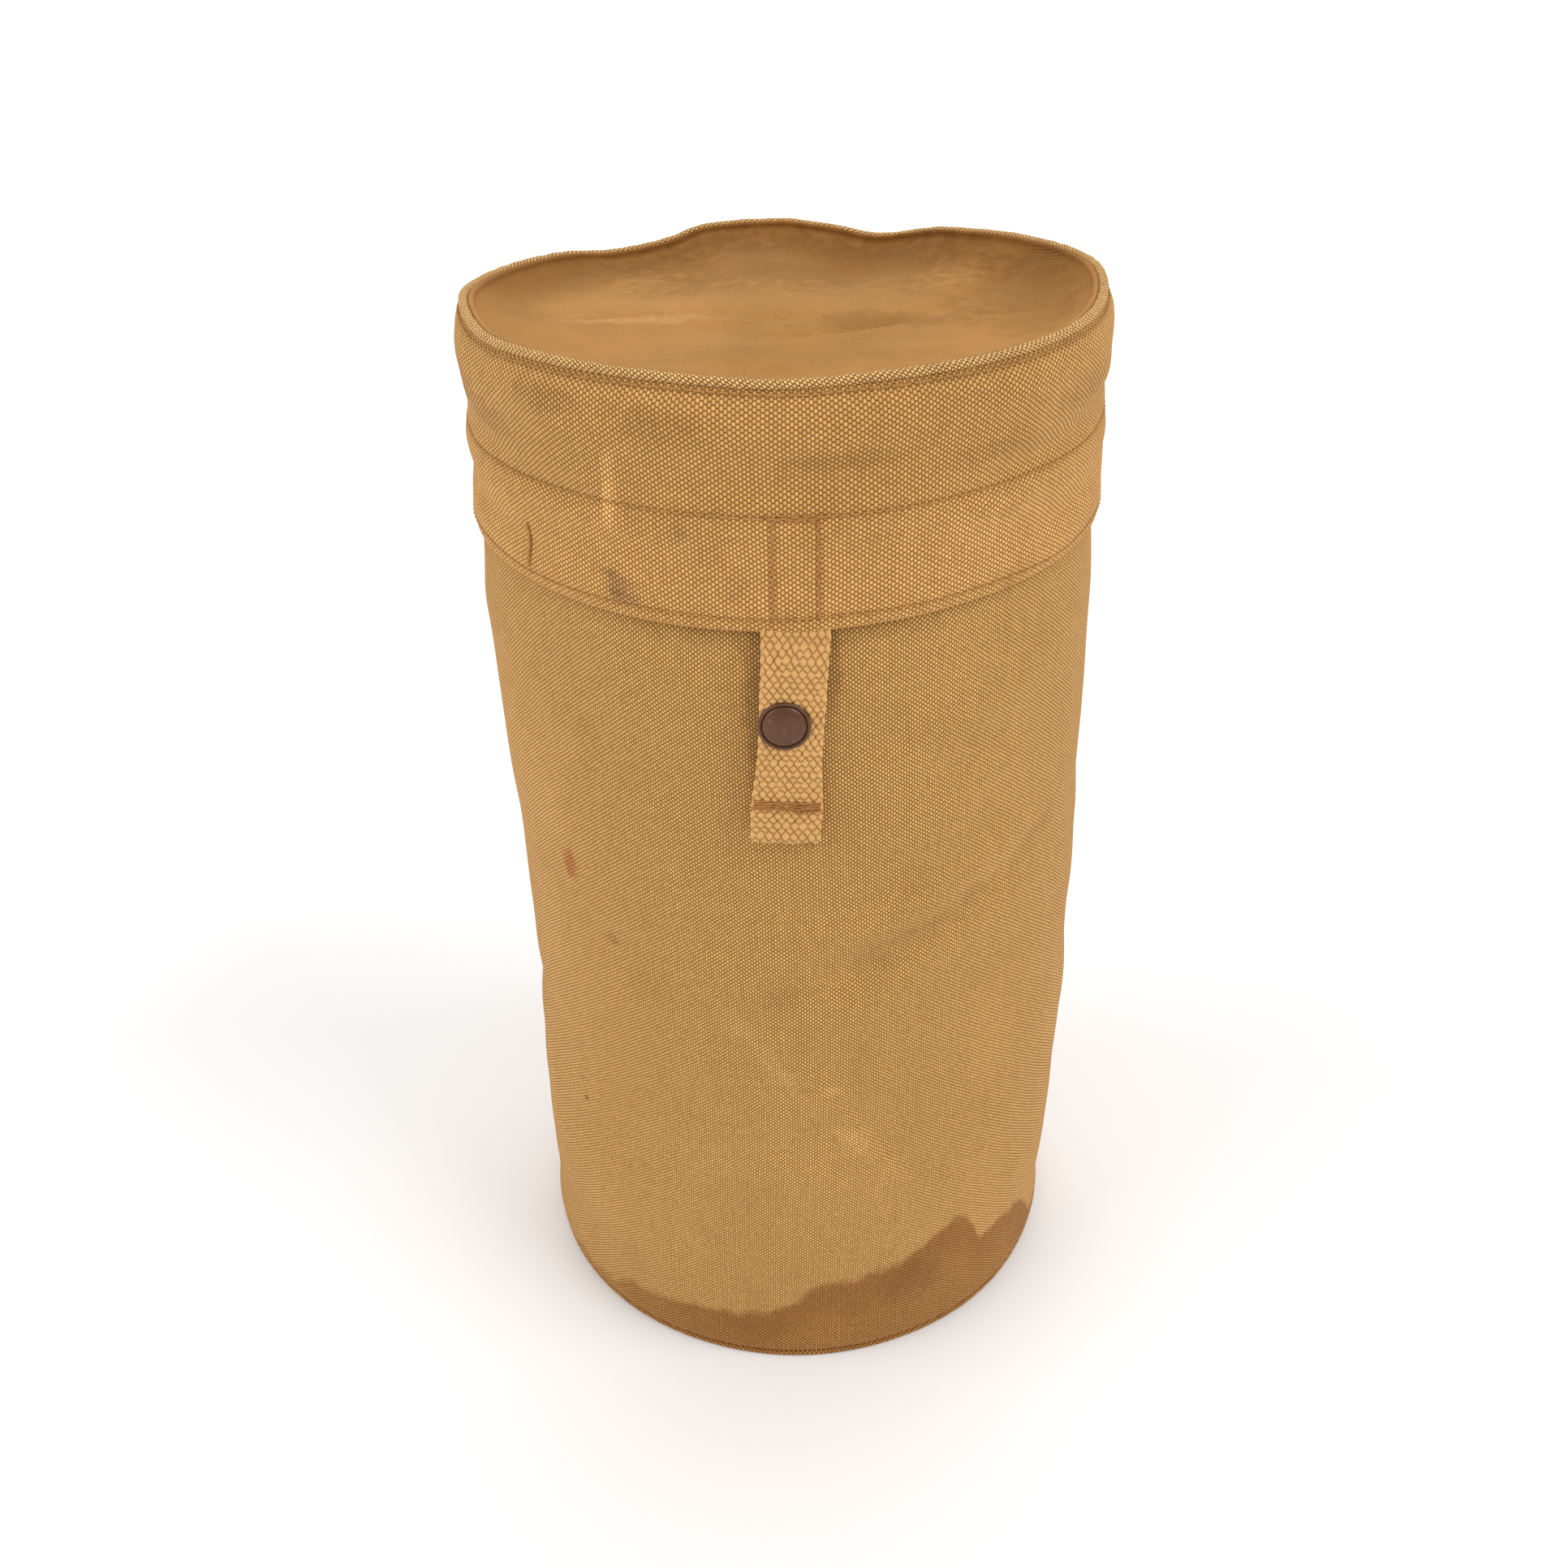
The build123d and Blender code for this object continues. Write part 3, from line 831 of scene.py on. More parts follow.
def make_stud_cap():
    """Cap of the press stud: rolled rim, a groove inside it and a shallow dome, barrel behind."""
    dome = [(6.30 * math.cos(t), 0.62 + 1.95 * math.sin(t) ** 1.1)
            for t in np.linspace(0.0, math.pi / 2 - 0.004, 30)]
    rim = [(6.93 + 0.57 * math.cos(t), 0.56 + 0.60 * math.sin(t)) for t in np.linspace(-1.3, 2.9, 16)]
    barrel = [(1.74, -2.3), (1.75, -0.2), (6.4, -0.05)]
    profile = barrel + rim + [(6.36, 0.60)] + dome
    front = -(STRAP_FACE + 0.3)
    return lathe("stud_cap_disc", profile, (STUD_X, front, STUD_Z), (0, -1, 0))


# ---- Stitching ----

WANDER = 0.15             # how far a sewn line strays up and down


def degrees_of(length):
    """The turn, in degrees, that a length round the wall takes up."""
    return length / WALL_R / math.radians(1)


def ring_of_stitches(name, level, surface, count, thick, seed, lift=0.0):
    """One turn of stitches at a level of a round surface."""
    degrees = np.linspace(0, 360, 900, endpoint=False)
    heights = level + WANDER * ripples(degrees, 0, seed + 50, (3, 30), 40)
    points, out = wall_line(degrees, heights, lift, surface)
    return sewn_row(name, points, out, 0, thick, closed=True, seed=seed, count=count)


def box_path(half_width, low, high, middle, surface):
    """The four sides of a rectangle on a round wall, each as points with outward directions."""
    arc = degrees_of(half_width)
    sides = [
        (np.linspace(middle - arc, middle + arc, 30), np.full(30, high)),
        (np.full(60, middle + arc), np.linspace(high, low, 60)),
        (np.linspace(middle + arc, middle - arc, 30), np.full(30, low)),
        (np.full(60, middle - arc), np.linspace(low, high, 60)),
    ]
    return [wall_line(degrees, heights, 0.0, surface) for degrees, heights in sides]


def make_root_stitches():
    """Two runs down the band and a heavier run across its top, right of the middle."""
    half = (root_high[0] - root_low[0]) / 2 - 0.3
    low, high = HEM + 3.0, HEM + BAND - 0.4
    parts = []
    for k, (points, out) in enumerate(box_path(half, low, high, ROOT_DEG, cap_surface)):
        if k != 2:
            parts.append(sewn_row(f"root_run_{k}", points + out * 0.16, out, 3.1, 0.92, seed=80 + k))
    degrees = ROOT_DEG + degrees_of(np.linspace(-1.0, 9.5, 30))
    points, out = wall_line(degrees, np.linspace(high - 0.2, high + 0.7, 30), 0.15, cap_surface)
    parts.append(sewn_row("root_tail", points, out, 6.5, 0.8, seed=90))
    degrees = ROOT_DEG + degrees_of(np.linspace(-8.5, 5.0, 30))
    points, out = wall_line(degrees, np.linspace(high + 1.3, high + 0.9, 30), 0.1, cap_surface)
    parts.append(sewn_row("root_top_run", points, out, 3.4, 0.55, seed=91))
    return join("strap_root_stitches", parts)


def make_bartack():
    """Short dense bar of thread on the band, on the left."""
    middle = math.degrees(math.atan2((tack_low[0] + tack_high[0]) / 2, -(tack_low[1] + tack_high[1]) / 2))
    heights = np.linspace(tack_low[2] - 0.3, tack_high[2], 60)
    degrees = np.full(60, middle) + 0.12 * np.sin(heights * 1.4)
    points, out = wall_line(degrees, heights, 0.25, cap_surface)
    parts = [sewn_row("tack_core", points, out, 14.0, 1.0, seed=95, rings=14)]
    arc = degrees_of(0.95)
    for k, height in enumerate(np.linspace(tack_low[2] + 0.4, tack_high[2] - 0.6, 17)):
        place = np.linspace(middle - arc, middle + arc, 12)
        points, out = wall_line(place, height + np.linspace(-0.25, 0.25, 12), 0.42, cap_surface)
        parts.append(sewn_row(f"tack_turn_{k}", points, out, 2.4, 0.52, seed=100 + k))
    return join("band_tack", parts)


def rear_box(name, low, high, depth):
    """Box of stitches on the back strap."""
    half = 6.6
    corner = [(-half, low), (half, low), (half, high), (-half, high), (-half, low)]
    path = []
    for (x0, z0), (x1, z1) in zip(corner, corner[1:]):
        t = np.linspace(0, 1, 40)
        z = z0 + (z1 - z0) * t
        path.append(np.stack([x0 + (x1 - x0) * t, depth(z), z], axis=-1))
    path = np.vstack(path)
    out = np.broadcast_to([0.0, 1.0, 0.0], path.shape)
    return sewn_row(name, path, out, 3.2, 0.6, seed=110)


# ---- Finishes ----

CROWN_WIDE = 0.62         # half width of a warp crown, in columns
CROWN_TALL = 0.98         # half height, in rows


def nodes_of(tree):
    """Short way to add nodes: add(kind, inputs, **settings) returns the node."""
    def add(kind, inputs=None, **settings):
        node = tree.nodes.new(kind)
        for key, value in settings.items():
            setattr(node, key, value)
        for key, value in (inputs or {}).items():
            if isinstance(value, bpy.types.NodeSocket):
                tree.links.new(value, node.inputs[key])
            else:
                node.inputs[key].default_value = value
        return node
    return add


def maths(add, operation, *values):
    inputs = dict(enumerate(values))
    return add("ShaderNodeMath", inputs, operation=operation).outputs[0]


def blended(add, factor, a, b, kind="MIX"):
    node = add("ShaderNodeMix", data_type="RGBA", blend_type=kind)
    tree = node.id_data
    for index, value in ((0, factor), (6, a), (7, b)):
        if isinstance(value, bpy.types.NodeSocket):
            tree.links.new(value, node.inputs[index])
        else:
            node.inputs[index].default_value = value
    return node.outputs[2]


def ramped(add, value, low, high):
    """Smooth 0 to 1 as value goes from low to high."""
    node = add("ShaderNodeMapRange", {"Value": value, "From Min": low, "From Max": high},
               interpolation_type="SMOOTHSTEP")
    return node.outputs[0]


def new_group(name, inputs, outputs):
    group = bpy.data.node_groups.new(name, "ShaderNodeTree")
    for label, kind, default in inputs:
        socket = group.interface.new_socket(label, in_out="INPUT", socket_type=kind)
        if default is not None:
            socket.default_value = default
    for label, kind in outputs:
        group.interface.new_socket(label, in_out="OUTPUT", socket_type=kind)
    add = nodes_of(group)
    return group, add, add("NodeGroupInput"), add("NodeGroupOutput")


def placed(add, group, **values):
    """A group in a material, with its own values. Underscores stand for spaces."""
    node = add("ShaderNodeGroup")
    node.node_tree = group
    for key, value in values.items():
        socket = node.inputs[key.replace("_", " ")]
        if isinstance(value, bpy.types.NodeSocket):
            node.id_data.links.new(value, socket)
        else:
            socket.default_value = value
    return node


def weave_group():
    """Plain duck weave: each column of warp is a chain of crowns, every other column half a step on.

    Even columns carry crowns at even rows and odd columns at odd rows. A point belongs to the
    nearer of the two, which leaves narrow zigzag lines between the columns.
    """
    group, add, given, result = new_group(
        "duck weave",
        [("Across", "NodeSocketFloat", 0.00084), ("Up", "NodeSocketFloat", 0.00073),
         ("Unevenness", "NodeSocketFloat", 1.0)],
        [("Crown", "NodeSocketFloat"), ("Tone", "NodeSocketFloat")])
    uv = add("ShaderNodeUVMap", uv_map="cloth").outputs[0]
    drift = add("ShaderNodeTexNoise", {"Vector": uv, "Scale": 90.0, "Detail": 3.0}).outputs["Color"]
    drift = add("ShaderNodeVectorMath", {0: drift, 1: (0.5, 0.5, 0.5)}, operation="SUBTRACT").outputs[0]
    size = maths(add, "MULTIPLY", given.outputs["Unevenness"], 0.0009)
    drift = add("ShaderNodeVectorMath", {0: drift, "Scale": size}, operation="SCALE").outputs[0]
    moved = add("ShaderNodeVectorMath", {0: uv, 1: drift}, operation="ADD").outputs[0]
    parts = add("ShaderNodeSeparateXYZ", {0: moved})
    x = maths(add, "DIVIDE", parts.outputs[0], given.outputs["Across"])
    y = maths(add, "DIVIDE", parts.outputs[1], given.outputs["Up"])
    from_even = (maths(add, "PINGPONG", x, 1.0), maths(add, "PINGPONG", y, 1.0))
    from_odd = tuple(maths(add, "SUBTRACT", 1.0, gap) for gap in from_even)

    def spread(gaps):
        wide = maths(add, "POWER", maths(add, "DIVIDE", gaps[0], CROWN_WIDE), 2.0)
        return maths(add, "ADD", wide, maths(add, "POWER", maths(add, "DIVIDE", gaps[1], CROWN_TALL), 2.0))

    even, odd = spread(from_even), spread(from_odd)
    crown = maths(add, "MAXIMUM", maths(add, "SUBTRACT", 1.0, maths(add, "MINIMUM", even, odd)), 0.0)
    is_odd = maths(add, "LESS_THAN", odd, even)

    def nearest(value):
        half = maths(add, "MULTIPLY", maths(add, "SUBTRACT", value, is_odd), 0.5)
        return maths(add, "ADD", maths(add, "MULTIPLY", maths(add, "ROUND", half), 2.0), is_odd)

    column, row = nearest(x), nearest(y)
    column_tone = add("ShaderNodeTexWhiteNoise", {"W": column}, noise_dimensions="1D").outputs[0]
    row_tone = add("ShaderNodeTexWhiteNoise", {"W": maths(add, "ADD", row, 0.5)},
                   noise_dimensions="1D").outputs[0]
    cell = add("ShaderNodeCombineXYZ", {0: column, 1: row}).outputs[0]
    cell_tone = add("ShaderNodeTexWhiteNoise", {"Vector": cell}, noise_dimensions="2D").outputs[0]
    tone = maths(add, "MULTIPLY", cell_tone, 0.72)
    for share, part in ((0.14, column_tone), (0.14, row_tone), (-0.14, is_odd)):
        tone = maths(add, "ADD", tone, maths(add, "MULTIPLY", part, share))
    group.links.new(crown, result.inputs["Crown"])
    group.links.new(tone, result.inputs["Tone"])
    return group


def age_group():
    """Slow changes of an old cotton cloth: fading, blotches, faint pale streaks and small specks."""
    group, add, given, result = new_group(
        "age",
        [("Color", "NodeSocketColor", (0.5, 0.3, 0.1, 1)), ("Fade", "NodeSocketFloat", 0.25),
         ("Blotch", "NodeSocketFloat", 0.2), ("Specks", "NodeSocketFloat", 0.3)],
        [("Color", "NodeSocketColor"), ("Rough", "NodeSocketFloat")])
    place = add("ShaderNodeTexCoord").outputs["Object"]
    slow = add("ShaderNodeTexNoise", {"Vector": place, "Scale": 17.0, "Detail": 4.0}).outputs[0]
    middle = add("ShaderNodeTexNoise", {"Vector": place, "Scale": 45.0, "Detail": 5.0,
                                        "Roughness": 0.6}).outputs[0]
    tall = add("ShaderNodeVectorMath", {0: place, 1: (1.0, 1.0, 0.16)}, operation="MULTIPLY").outputs[0]
    streak = add("ShaderNodeTexNoise", {"Vector": tall, "Scale": 95.0, "Detail": 3.0}).outputs[0]
    light = blended(add, 1.0, given.outputs["Color"], (1.22, 1.25, 1.36, 1), "MULTIPLY")
    dark = blended(add, 1.0, given.outputs["Color"], (0.80, 0.74, 0.66, 1), "MULTIPLY")
    fade = maths(add, "MULTIPLY", ramped(add, slow, 0.42, 0.68), given.outputs["Fade"])
    color = blended(add, fade, given.outputs["Color"], light)
    blotch = maths(add, "MULTIPLY", ramped(add, middle, 0.50, 0.72), given.outputs["Blotch"])
    color = blended(add, blotch, color, dark)
    streaks = maths(add, "MULTIPLY", ramped(add, streak, 0.58, 0.74), given.outputs["Blotch"])
    color = blended(add, maths(add, "MULTIPLY", streaks, 0.2), color, light)
    speck = add("ShaderNodeTexNoise", {"Vector": place, "Scale": 260.0, "Detail": 2.0}).outputs[0]
    specks = maths(add, "MULTIPLY", ramped(add, speck, 0.70, 0.80), given.outputs["Specks"])
    color = blended(add, specks, color, dark)
    rough = maths(add, "ADD", 0.86, maths(add, "MULTIPLY", middle, 0.12))
    group.links.new(color, result.inputs["Color"])
    group.links.new(rough, result.inputs["Rough"])
    return group


def stain_and_shade_group():
    """Soft round patch, for a stain, painted shade or a painted highlight: 1 in its middle, 0 outside, with a
    ragged edge.
    """
    group, add, given, result = new_group(
        "mark",
        [("Place", "NodeSocketVector", None), ("Size", "NodeSocketVector", (0.01, 0.01, 0.01)),
         ("Ragged", "NodeSocketFloat", 0.4)],
        [("Mask", "NodeSocketFloat")])
    place = add("ShaderNodeTexCoord").outputs["Object"]
    gap = add("ShaderNodeVectorMath", {0: place, 1: given.outputs["Place"]}, operation="SUBTRACT").outputs[0]
    gap = add("ShaderNodeVectorMath", {0: gap, 1: given.outputs["Size"]}, operation="DIVIDE").outputs[0]
    far = add("ShaderNodeVectorMath", {0: gap}, operation="LENGTH").outputs["Value"]
    rag = add("ShaderNodeTexNoise", {"Vector": place, "Scale": 240.0, "Detail": 4.0}).outputs[0]
    far = maths(add, "ADD", far, maths(add, "MULTIPLY", maths(add, "SUBTRACT", rag, 0.5),
                                      given.outputs["Ragged"]))
    mask = maths(add, "SUBTRACT", 1.0, ramped(add, far, 0.35, 1.0))
    group.links.new(mask, result.inputs["Mask"])
    return group


def seam_group():
    """Sewn line round the cap: a trace of soil along it and a dark needle hole at each stitch's end."""
    group, add, given, result = new_group(
        "sewn line",
        [("Distance", "NodeSocketFloat", 0.0), ("Width", "NodeSocketFloat", 0.001),
         ("Stitches", "NodeSocketFloat", 200.0), ("Soil", "NodeSocketFloat", 0.3)],
        [("Mask", "NodeSocketFloat")])
    uv = add("ShaderNodeUVMap", uv_map="cloth").outputs[0]
    parts = add("ShaderNodeSeparateXYZ", {0: uv})
    rag = add("ShaderNodeTexNoise", {"Vector": uv, "Scale": 420.0, "Detail": 3.0}).outputs[0]
    rag = maths(add, "MULTIPLY", maths(add, "SUBTRACT", rag, 0.5), 0.9)
    gap = maths(add, "ABSOLUTE", maths(add, "SUBTRACT", parts.outputs[1], given.outputs["Distance"]))
    share = maths(add, "DIVIDE", gap, given.outputs["Width"])
    line = maths(add, "SUBTRACT", 1.0, ramped(add, maths(add, "ADD", share, rag), 0.25, 1.0))
    line = maths(add, "MULTIPLY", line, given.outputs["Soil"])
    turns = maths(add, "DIVIDE", parts.outputs[0], 2 * math.pi * WALL_R * MM)
    phase = maths(add, "FRACT", maths(add, "MULTIPLY", turns, given.outputs["Stitches"]))
    near = ramped(add, maths(add, "ABSOLUTE", maths(add, "SUBTRACT", phase, 0.5)), 0.33, 0.46)
    hole = maths(add, "MULTIPLY", near, maths(add, "SUBTRACT", 0.6, ramped(add, share, 0.1, 0.6)))
    group.links.new(maths(add, "MAXIMUM", line, hole), result.inputs["Mask"])
    return group


WEAVE = weave_group()
AGE = age_group()
MARK = stain_and_shade_group()
SEAM = seam_group()

# Crown and gap colours of the canvas weave: the lighter crowns and darker gaps are partly painted shade of
# the yarns' relief.
CANVAS_LIGHT = (0.80, 0.440, 0.142, 1)
CANVAS_DARK = (0.190, 0.082, 0.015, 1)
SEAM_SOIL = (0.42, 0.33, 0.26, 1)
GREY_STAIN = (0.62, 0.61, 0.70, 1)
RUST_STAIN = (0.80, 0.50, 0.42, 1)
# Darker patches on the cap's upper side: painted shade of its soft folds, and soil.
FOLD_SHADE_AND_SOIL = (0.80, 0.74, 0.68, 1)


def new_material(name, rough=0.9, sheen=0.0):
    material = bpy.data.materials.new(name)
    material.use_nodes = True
    tree = material.node_tree
    shader = tree.nodes["Principled BSDF"]
    shader.inputs["Roughness"].default_value = rough
    shader.inputs["Specular IOR Level"].default_value = 0.12
    if sheen:
        shader.inputs["Sheen Weight"].default_value = sheen
        shader.inputs["Sheen Roughness"].default_value = 0.6
        shader.inputs["Sheen Tint"].default_value = (1.0, 0.78, 0.5, 1)
    return material, tree, nodes_of(tree), shader


def cloth_finish(name, across, up, light=CANVAS_LIGHT, dark=CANVAS_DARK, blotch=0.22, relief=0.00026,
                 sheen=0.12, marks=(), seams=(), painted_lines_and_water_mark=False, rubbed=0.0):
    """Canvas: woven crowns in two tones, partly painted shade of the yarns' relief, aged, with the stains,
    painted shade, painted highlights and seams that this piece has.

    across and up are the spacing of the crowns in metres. The switch for the pouch's lines adds its painted
    highlight line, its painted crease shade and its water mark. rubbed is how far the weave is worn smooth;
    when it is set, painted shade is also added under the rim at the back of the sunk top.
    """
    material, tree, add, shader = new_material(name, sheen=sheen)
    place = add("ShaderNodeTexCoord").outputs["Object"]
    weave = placed(add, WEAVE, Across=across, Up=up, Unevenness=1.0)
    crown = maths(add, "POWER", weave.outputs["Crown"], 1.1)
    tone = maths(add, "MULTIPLY", maths(add, "SUBTRACT", weave.outputs["Tone"], 0.43), 0.45)
    crown = maths(add, "ADD", crown, maths(add, "MULTIPLY", tone, crown))
    height = maths(add, "POWER", weave.outputs["Crown"], 0.6)
    if rubbed:
        worn = add("ShaderNodeTexNoise", {"Vector": place, "Scale": 28.0, "Detail": 4.0}).outputs[0]
        worn = maths(add, "MULTIPLY", ramped(add, worn, 0.20, 0.62), rubbed)
        plain = maths(add, "MULTIPLY", worn, 0.55)
        left = maths(add, "SUBTRACT", 1.0, worn)
        crown = maths(add, "ADD", maths(add, "MULTIPLY", crown, left), plain)
        height = maths(add, "MULTIPLY", height, left)
    # Painted shade of the weave: darker between the crowns, lighter on them.
    color = blended(add, crown, dark, light)
    aged = placed(add, AGE, Color=color, Fade=0.3, Blotch=blotch, Specks=0.25)
    color = aged.outputs["Color"]
    for distance, width, stitches, soil in seams:
        line = placed(add, SEAM, Distance=distance * MM, Width=width * MM, Stitches=stitches, Soil=soil)
        soiled = blended(add, 1.0, color, SEAM_SOIL, "MULTIPLY")
        color = blended(add, line.outputs[0], color, soiled)
    # Each entry tints a soft round patch; the entries are stains, painted shade and painted highlights.
    for middle, size, tint, strength in marks:
        spot = placed(add, MARK, Place=tuple(v * MM for v in middle), Size=tuple(v * MM for v in size),
                      Ragged=1.1)
        tinted = blended(add, 1.0, color, tint, "MULTIPLY")
        color = blended(add, maths(add, "MULTIPLY", spot.outputs[0], strength), color, tinted)
    if painted_lines_and_water_mark:
        # The painted highlight line and the painted crease shade, then the water mark.
        for line in (RIDGE_HIGHLIGHT_LINE, CREASE_SHADE_LINE):
            color = slanted_line(add, color, *line)
        color = water_line(add, color)
    if rubbed:
        # Painted shade under the rim at the back of the sunk top.
        color = painted_rim_shade(add, color)
    tree.links.new(color, shader.inputs["Base Color"])
    tree.links.new(aged.outputs["Rough"], shader.inputs["Roughness"])
    fuzz = add("ShaderNodeTexNoise", {"Vector": place, "Scale": 2600.0, "Detail": 2.0}).outputs[0]
    height = maths(add, "ADD", height, maths(add, "MULTIPLY", fuzz, 0.25))
    ridge = add("ShaderNodeBump", {"Height": height, "Distance": relief, "Strength": 0.9})
    tree.links.new(ridge.outputs[0], shader.inputs["Normal"])
    return material


# Lines across the pouch: where each starts and ends, its width, its tint and how strong it is.
# Painted highlight: a lighter line along a low ridge running down the front of the wall.
RIDGE_HIGHLIGHT_LINE = ((-18, 168), (27, 66), 5.0, (1.14, 1.17, 1.26, 1), 0.7)
# Painted shade: a darker line along the wall's long slanting crease.
CREASE_SHADE_LINE = ((-12, 161), (62, 212), 7.0, (0.86, 0.84, 0.80, 1), 0.75)


def slanted_line(add, color, start, end, width, tint, strength):
    """Long line across the pouch between two (degrees, height) places, tinted lighter for a painted highlight
    along a ridge and darker for painted shade along a crease.
    """
    place = add("ShaderNodeTexCoord").outputs["Object"]
    parts = add("ShaderNodeSeparateXYZ", {0: place})
    turn = maths(add, "ARCTAN2", parts.outputs[0], maths(add, "MULTIPLY", parts.outputs[1], -1.0))
    first = np.array([math.radians(start[0]) * WALL_R, start[1]]) * MM
    last = np.array([math.radians(end[0]) * WALL_R, end[1]]) * MM
    length = float(np.hypot(*(last - first)))
    ahead = (last - first) / length
    right = maths(add, "SUBTRACT", maths(add, "MULTIPLY", turn, WALL_R * MM), float(first[0]))
    up = maths(add, "SUBTRACT", parts.outputs[2], float(first[1]))
    along = maths(add, "ADD", maths(add, "MULTIPLY", right, float(ahead[0])),
                  maths(add, "MULTIPLY", up, float(ahead[1])))
    off = maths(add, "SUBTRACT", maths(add, "MULTIPLY", right, float(ahead[1])),
                maths(add, "MULTIPLY", up, float(ahead[0])))
    rag = add("ShaderNodeTexNoise", {"Vector": place, "Scale": 60.0, "Detail": 4.0}).outputs[0]
    off = maths(add, "ADD", off, maths(add, "MULTIPLY", maths(add, "SUBTRACT", rag, 0.5), 1.2 * width * MM))
    near = maths(add, "SUBTRACT", 1.0, ramped(add, maths(add, "ABSOLUTE", off), 0.1 * width * MM, width * MM))
    within = maths(add, "MULTIPLY", ramped(add, along, 0.0, 0.15 * length),
                   maths(add, "SUBTRACT", 1.0, ramped(add, along, 0.85 * length, length)))
    patchy = maths(add, "MULTIPLY", ramped(add, rag, 0.36, 0.56), strength)
    mask = maths(add, "MULTIPLY", maths(add, "MULTIPLY", near, within), patchy)
    return blended(add, mask, color, blended(add, 1.0, color, tint, "MULTIPLY"))


# The water mark's upper edge round the base, as (degrees, height).
WATER_EDGE = [(-180, 14), (-120, 10), (-84, 2), (-62, 7), (-40, 15), (-22, 20), (-8, 24), (6, 37),
              (19, 41), (24, 46), (32, 51), (38, 48), (44, 35), (50, 36), (62, 22), (80, 6),
              (110, 8), (150, 18), (180, 14)]


def water_line(add, color):
    """Old water mark round the foot of the pouch: darker below an uneven line."""
    place = add("ShaderNodeTexCoord").outputs["Object"]
    parts = add("ShaderNodeSeparateXYZ", {0: place})
    turn = maths(add, "ARCTAN2", parts.outputs[0], maths(add, "MULTIPLY", parts.outputs[1], -1.0))
    share = maths(add, "ADD", maths(add, "DIVIDE", turn, 2 * math.pi), 0.5)
    curve = add("ShaderNodeFloatCurve", {"Value": share})
    line = curve.mapping.curves[0]
    tallest = 100.0
    for index, (deg, height) in enumerate(WATER_EDGE):
        spot = (deg / 360 + 0.5, height / tallest)
        if index == 0:
            line.points[0].location = spot
        elif index == len(WATER_EDGE) - 1:
            line.points[-1].location = spot
        else:
            line.points.new(*spot)
    curve.mapping.update()
    edge = maths(add, "MULTIPLY", curve.outputs[0], tallest * MM)
    rag = add("ShaderNodeTexNoise", {"Vector": place, "Scale": 48.0, "Detail": 5.0,
                                     "Roughness": 0.6}).outputs[0]
    edge = maths(add, "ADD", edge, maths(add, "MULTIPLY", maths(add, "SUBTRACT", rag, 0.5), 0.018))
    below = maths(add, "SUBTRACT", edge, parts.outputs[2])
    mask = ramped(add, below, -0.0015, 0.0035)
    front = ramped(add, maths(add, "COSINE", maths(add, "SUBTRACT", turn, math.radians(28))), -0.1, 0.85)
    depth = maths(add, "ADD", 0.45, maths(add, "MULTIPLY", front, 0.55))
    soak = maths(add, "SUBTRACT", 1.0, maths(add, "MULTIPLY", ramped(add, below, 0.004, 0.03), 0.25))
    mask = maths(add, "MULTIPLY", maths(add, "MULTIPLY", mask, depth), soak)
    tide = maths(add, "MULTIPLY", ramped(add, below, -0.001, 0.001),
                 maths(add, "SUBTRACT", 1.0, ramped(add, below, 0.001, 0.005)))
    mask = maths(add, "MINIMUM", maths(add, "ADD", mask, maths(add, "MULTIPLY", tide, 0.12)), 1.0)
    tinted = blended(add, 1.0, color, (0.61, 0.46, 0.34, 1), "MULTIPLY")
    return blended(add, mask, color, tinted)


def painted_rim_shade(add, color):
    """Painted shade in the corner of the sunk top, below the rim behind."""
    place = add("ShaderNodeTexCoord").outputs["Object"]
    parts = add("ShaderNodeSeparateXYZ", {0: place})
    squares = [maths(add, "MULTIPLY", parts.outputs[k], parts.outputs[k]) for k in (0, 1)]
    radius = maths(add, "SQRT", maths(add, "ADD", *squares))
    behind = ramped(add, parts.outputs[1], -0.035, 0.045)
    near = maths(add, "MULTIPLY", ramped(add, radius, 0.066, 0.088), behind)
    return blended(add, near, color, blended(add, 1.0, color, (0.66, 0.58, 0.46, 1), "MULTIPLY"))


# Lighter on the beads' tops and darker between them: partly painted shade of the beads' relief.
WEBBING_LIGHT = (0.73, 0.408, 0.142, 1)
WEBBING_DARK = (0.28, 0.130, 0.038, 1)


def webbing_finish(name):
    """Thick cotton webbing: the beads are in the mesh, and the finish adds fibres, dirt and painted shade,
    darker between the beads and lighter on their tops.
    """
    material, tree, add, shader = new_material(name, sheen=0.15)
    uv = add("ShaderNodeUVMap", uv_map="cloth").outputs[0]
    fine = add("ShaderNodeVectorMath", {0: uv, 1: (5200.0, 1500.0, 1.0)}, operation="MULTIPLY").outputs[0]
    fibre = add("ShaderNodeTexNoise", {"Vector": fine, "Scale": 1.0, "Detail": 3.0}).outputs[0]
    relief = add("ShaderNodeAttribute", attribute_name="relief").outputs["Fac"]
    # Painted shade by bead height: darker low between the beads, lighter on their tops.
    rounded = maths(add, "POWER", ramped(add, relief, 0.06, 0.56), 0.75)
    color = blended(add, rounded, WEBBING_DARK, WEBBING_LIGHT)
    color = blended(add, maths(add, "MULTIPLY", fibre, 0.35), color, (0.42, 0.215, 0.07, 1))
    aged = placed(add, AGE, Color=color, Fade=0.3, Blotch=0.25, Specks=0.2)
    tree.links.new(aged.outputs["Color"], shader.inputs["Base Color"])
    tree.links.new(aged.outputs["Rough"], shader.inputs["Roughness"])
    ridge = add("ShaderNodeBump", {"Height": fibre, "Distance": 0.00018, "Strength": 1.0})
    tree.links.new(ridge.outputs[0], shader.inputs["Normal"])
    return material


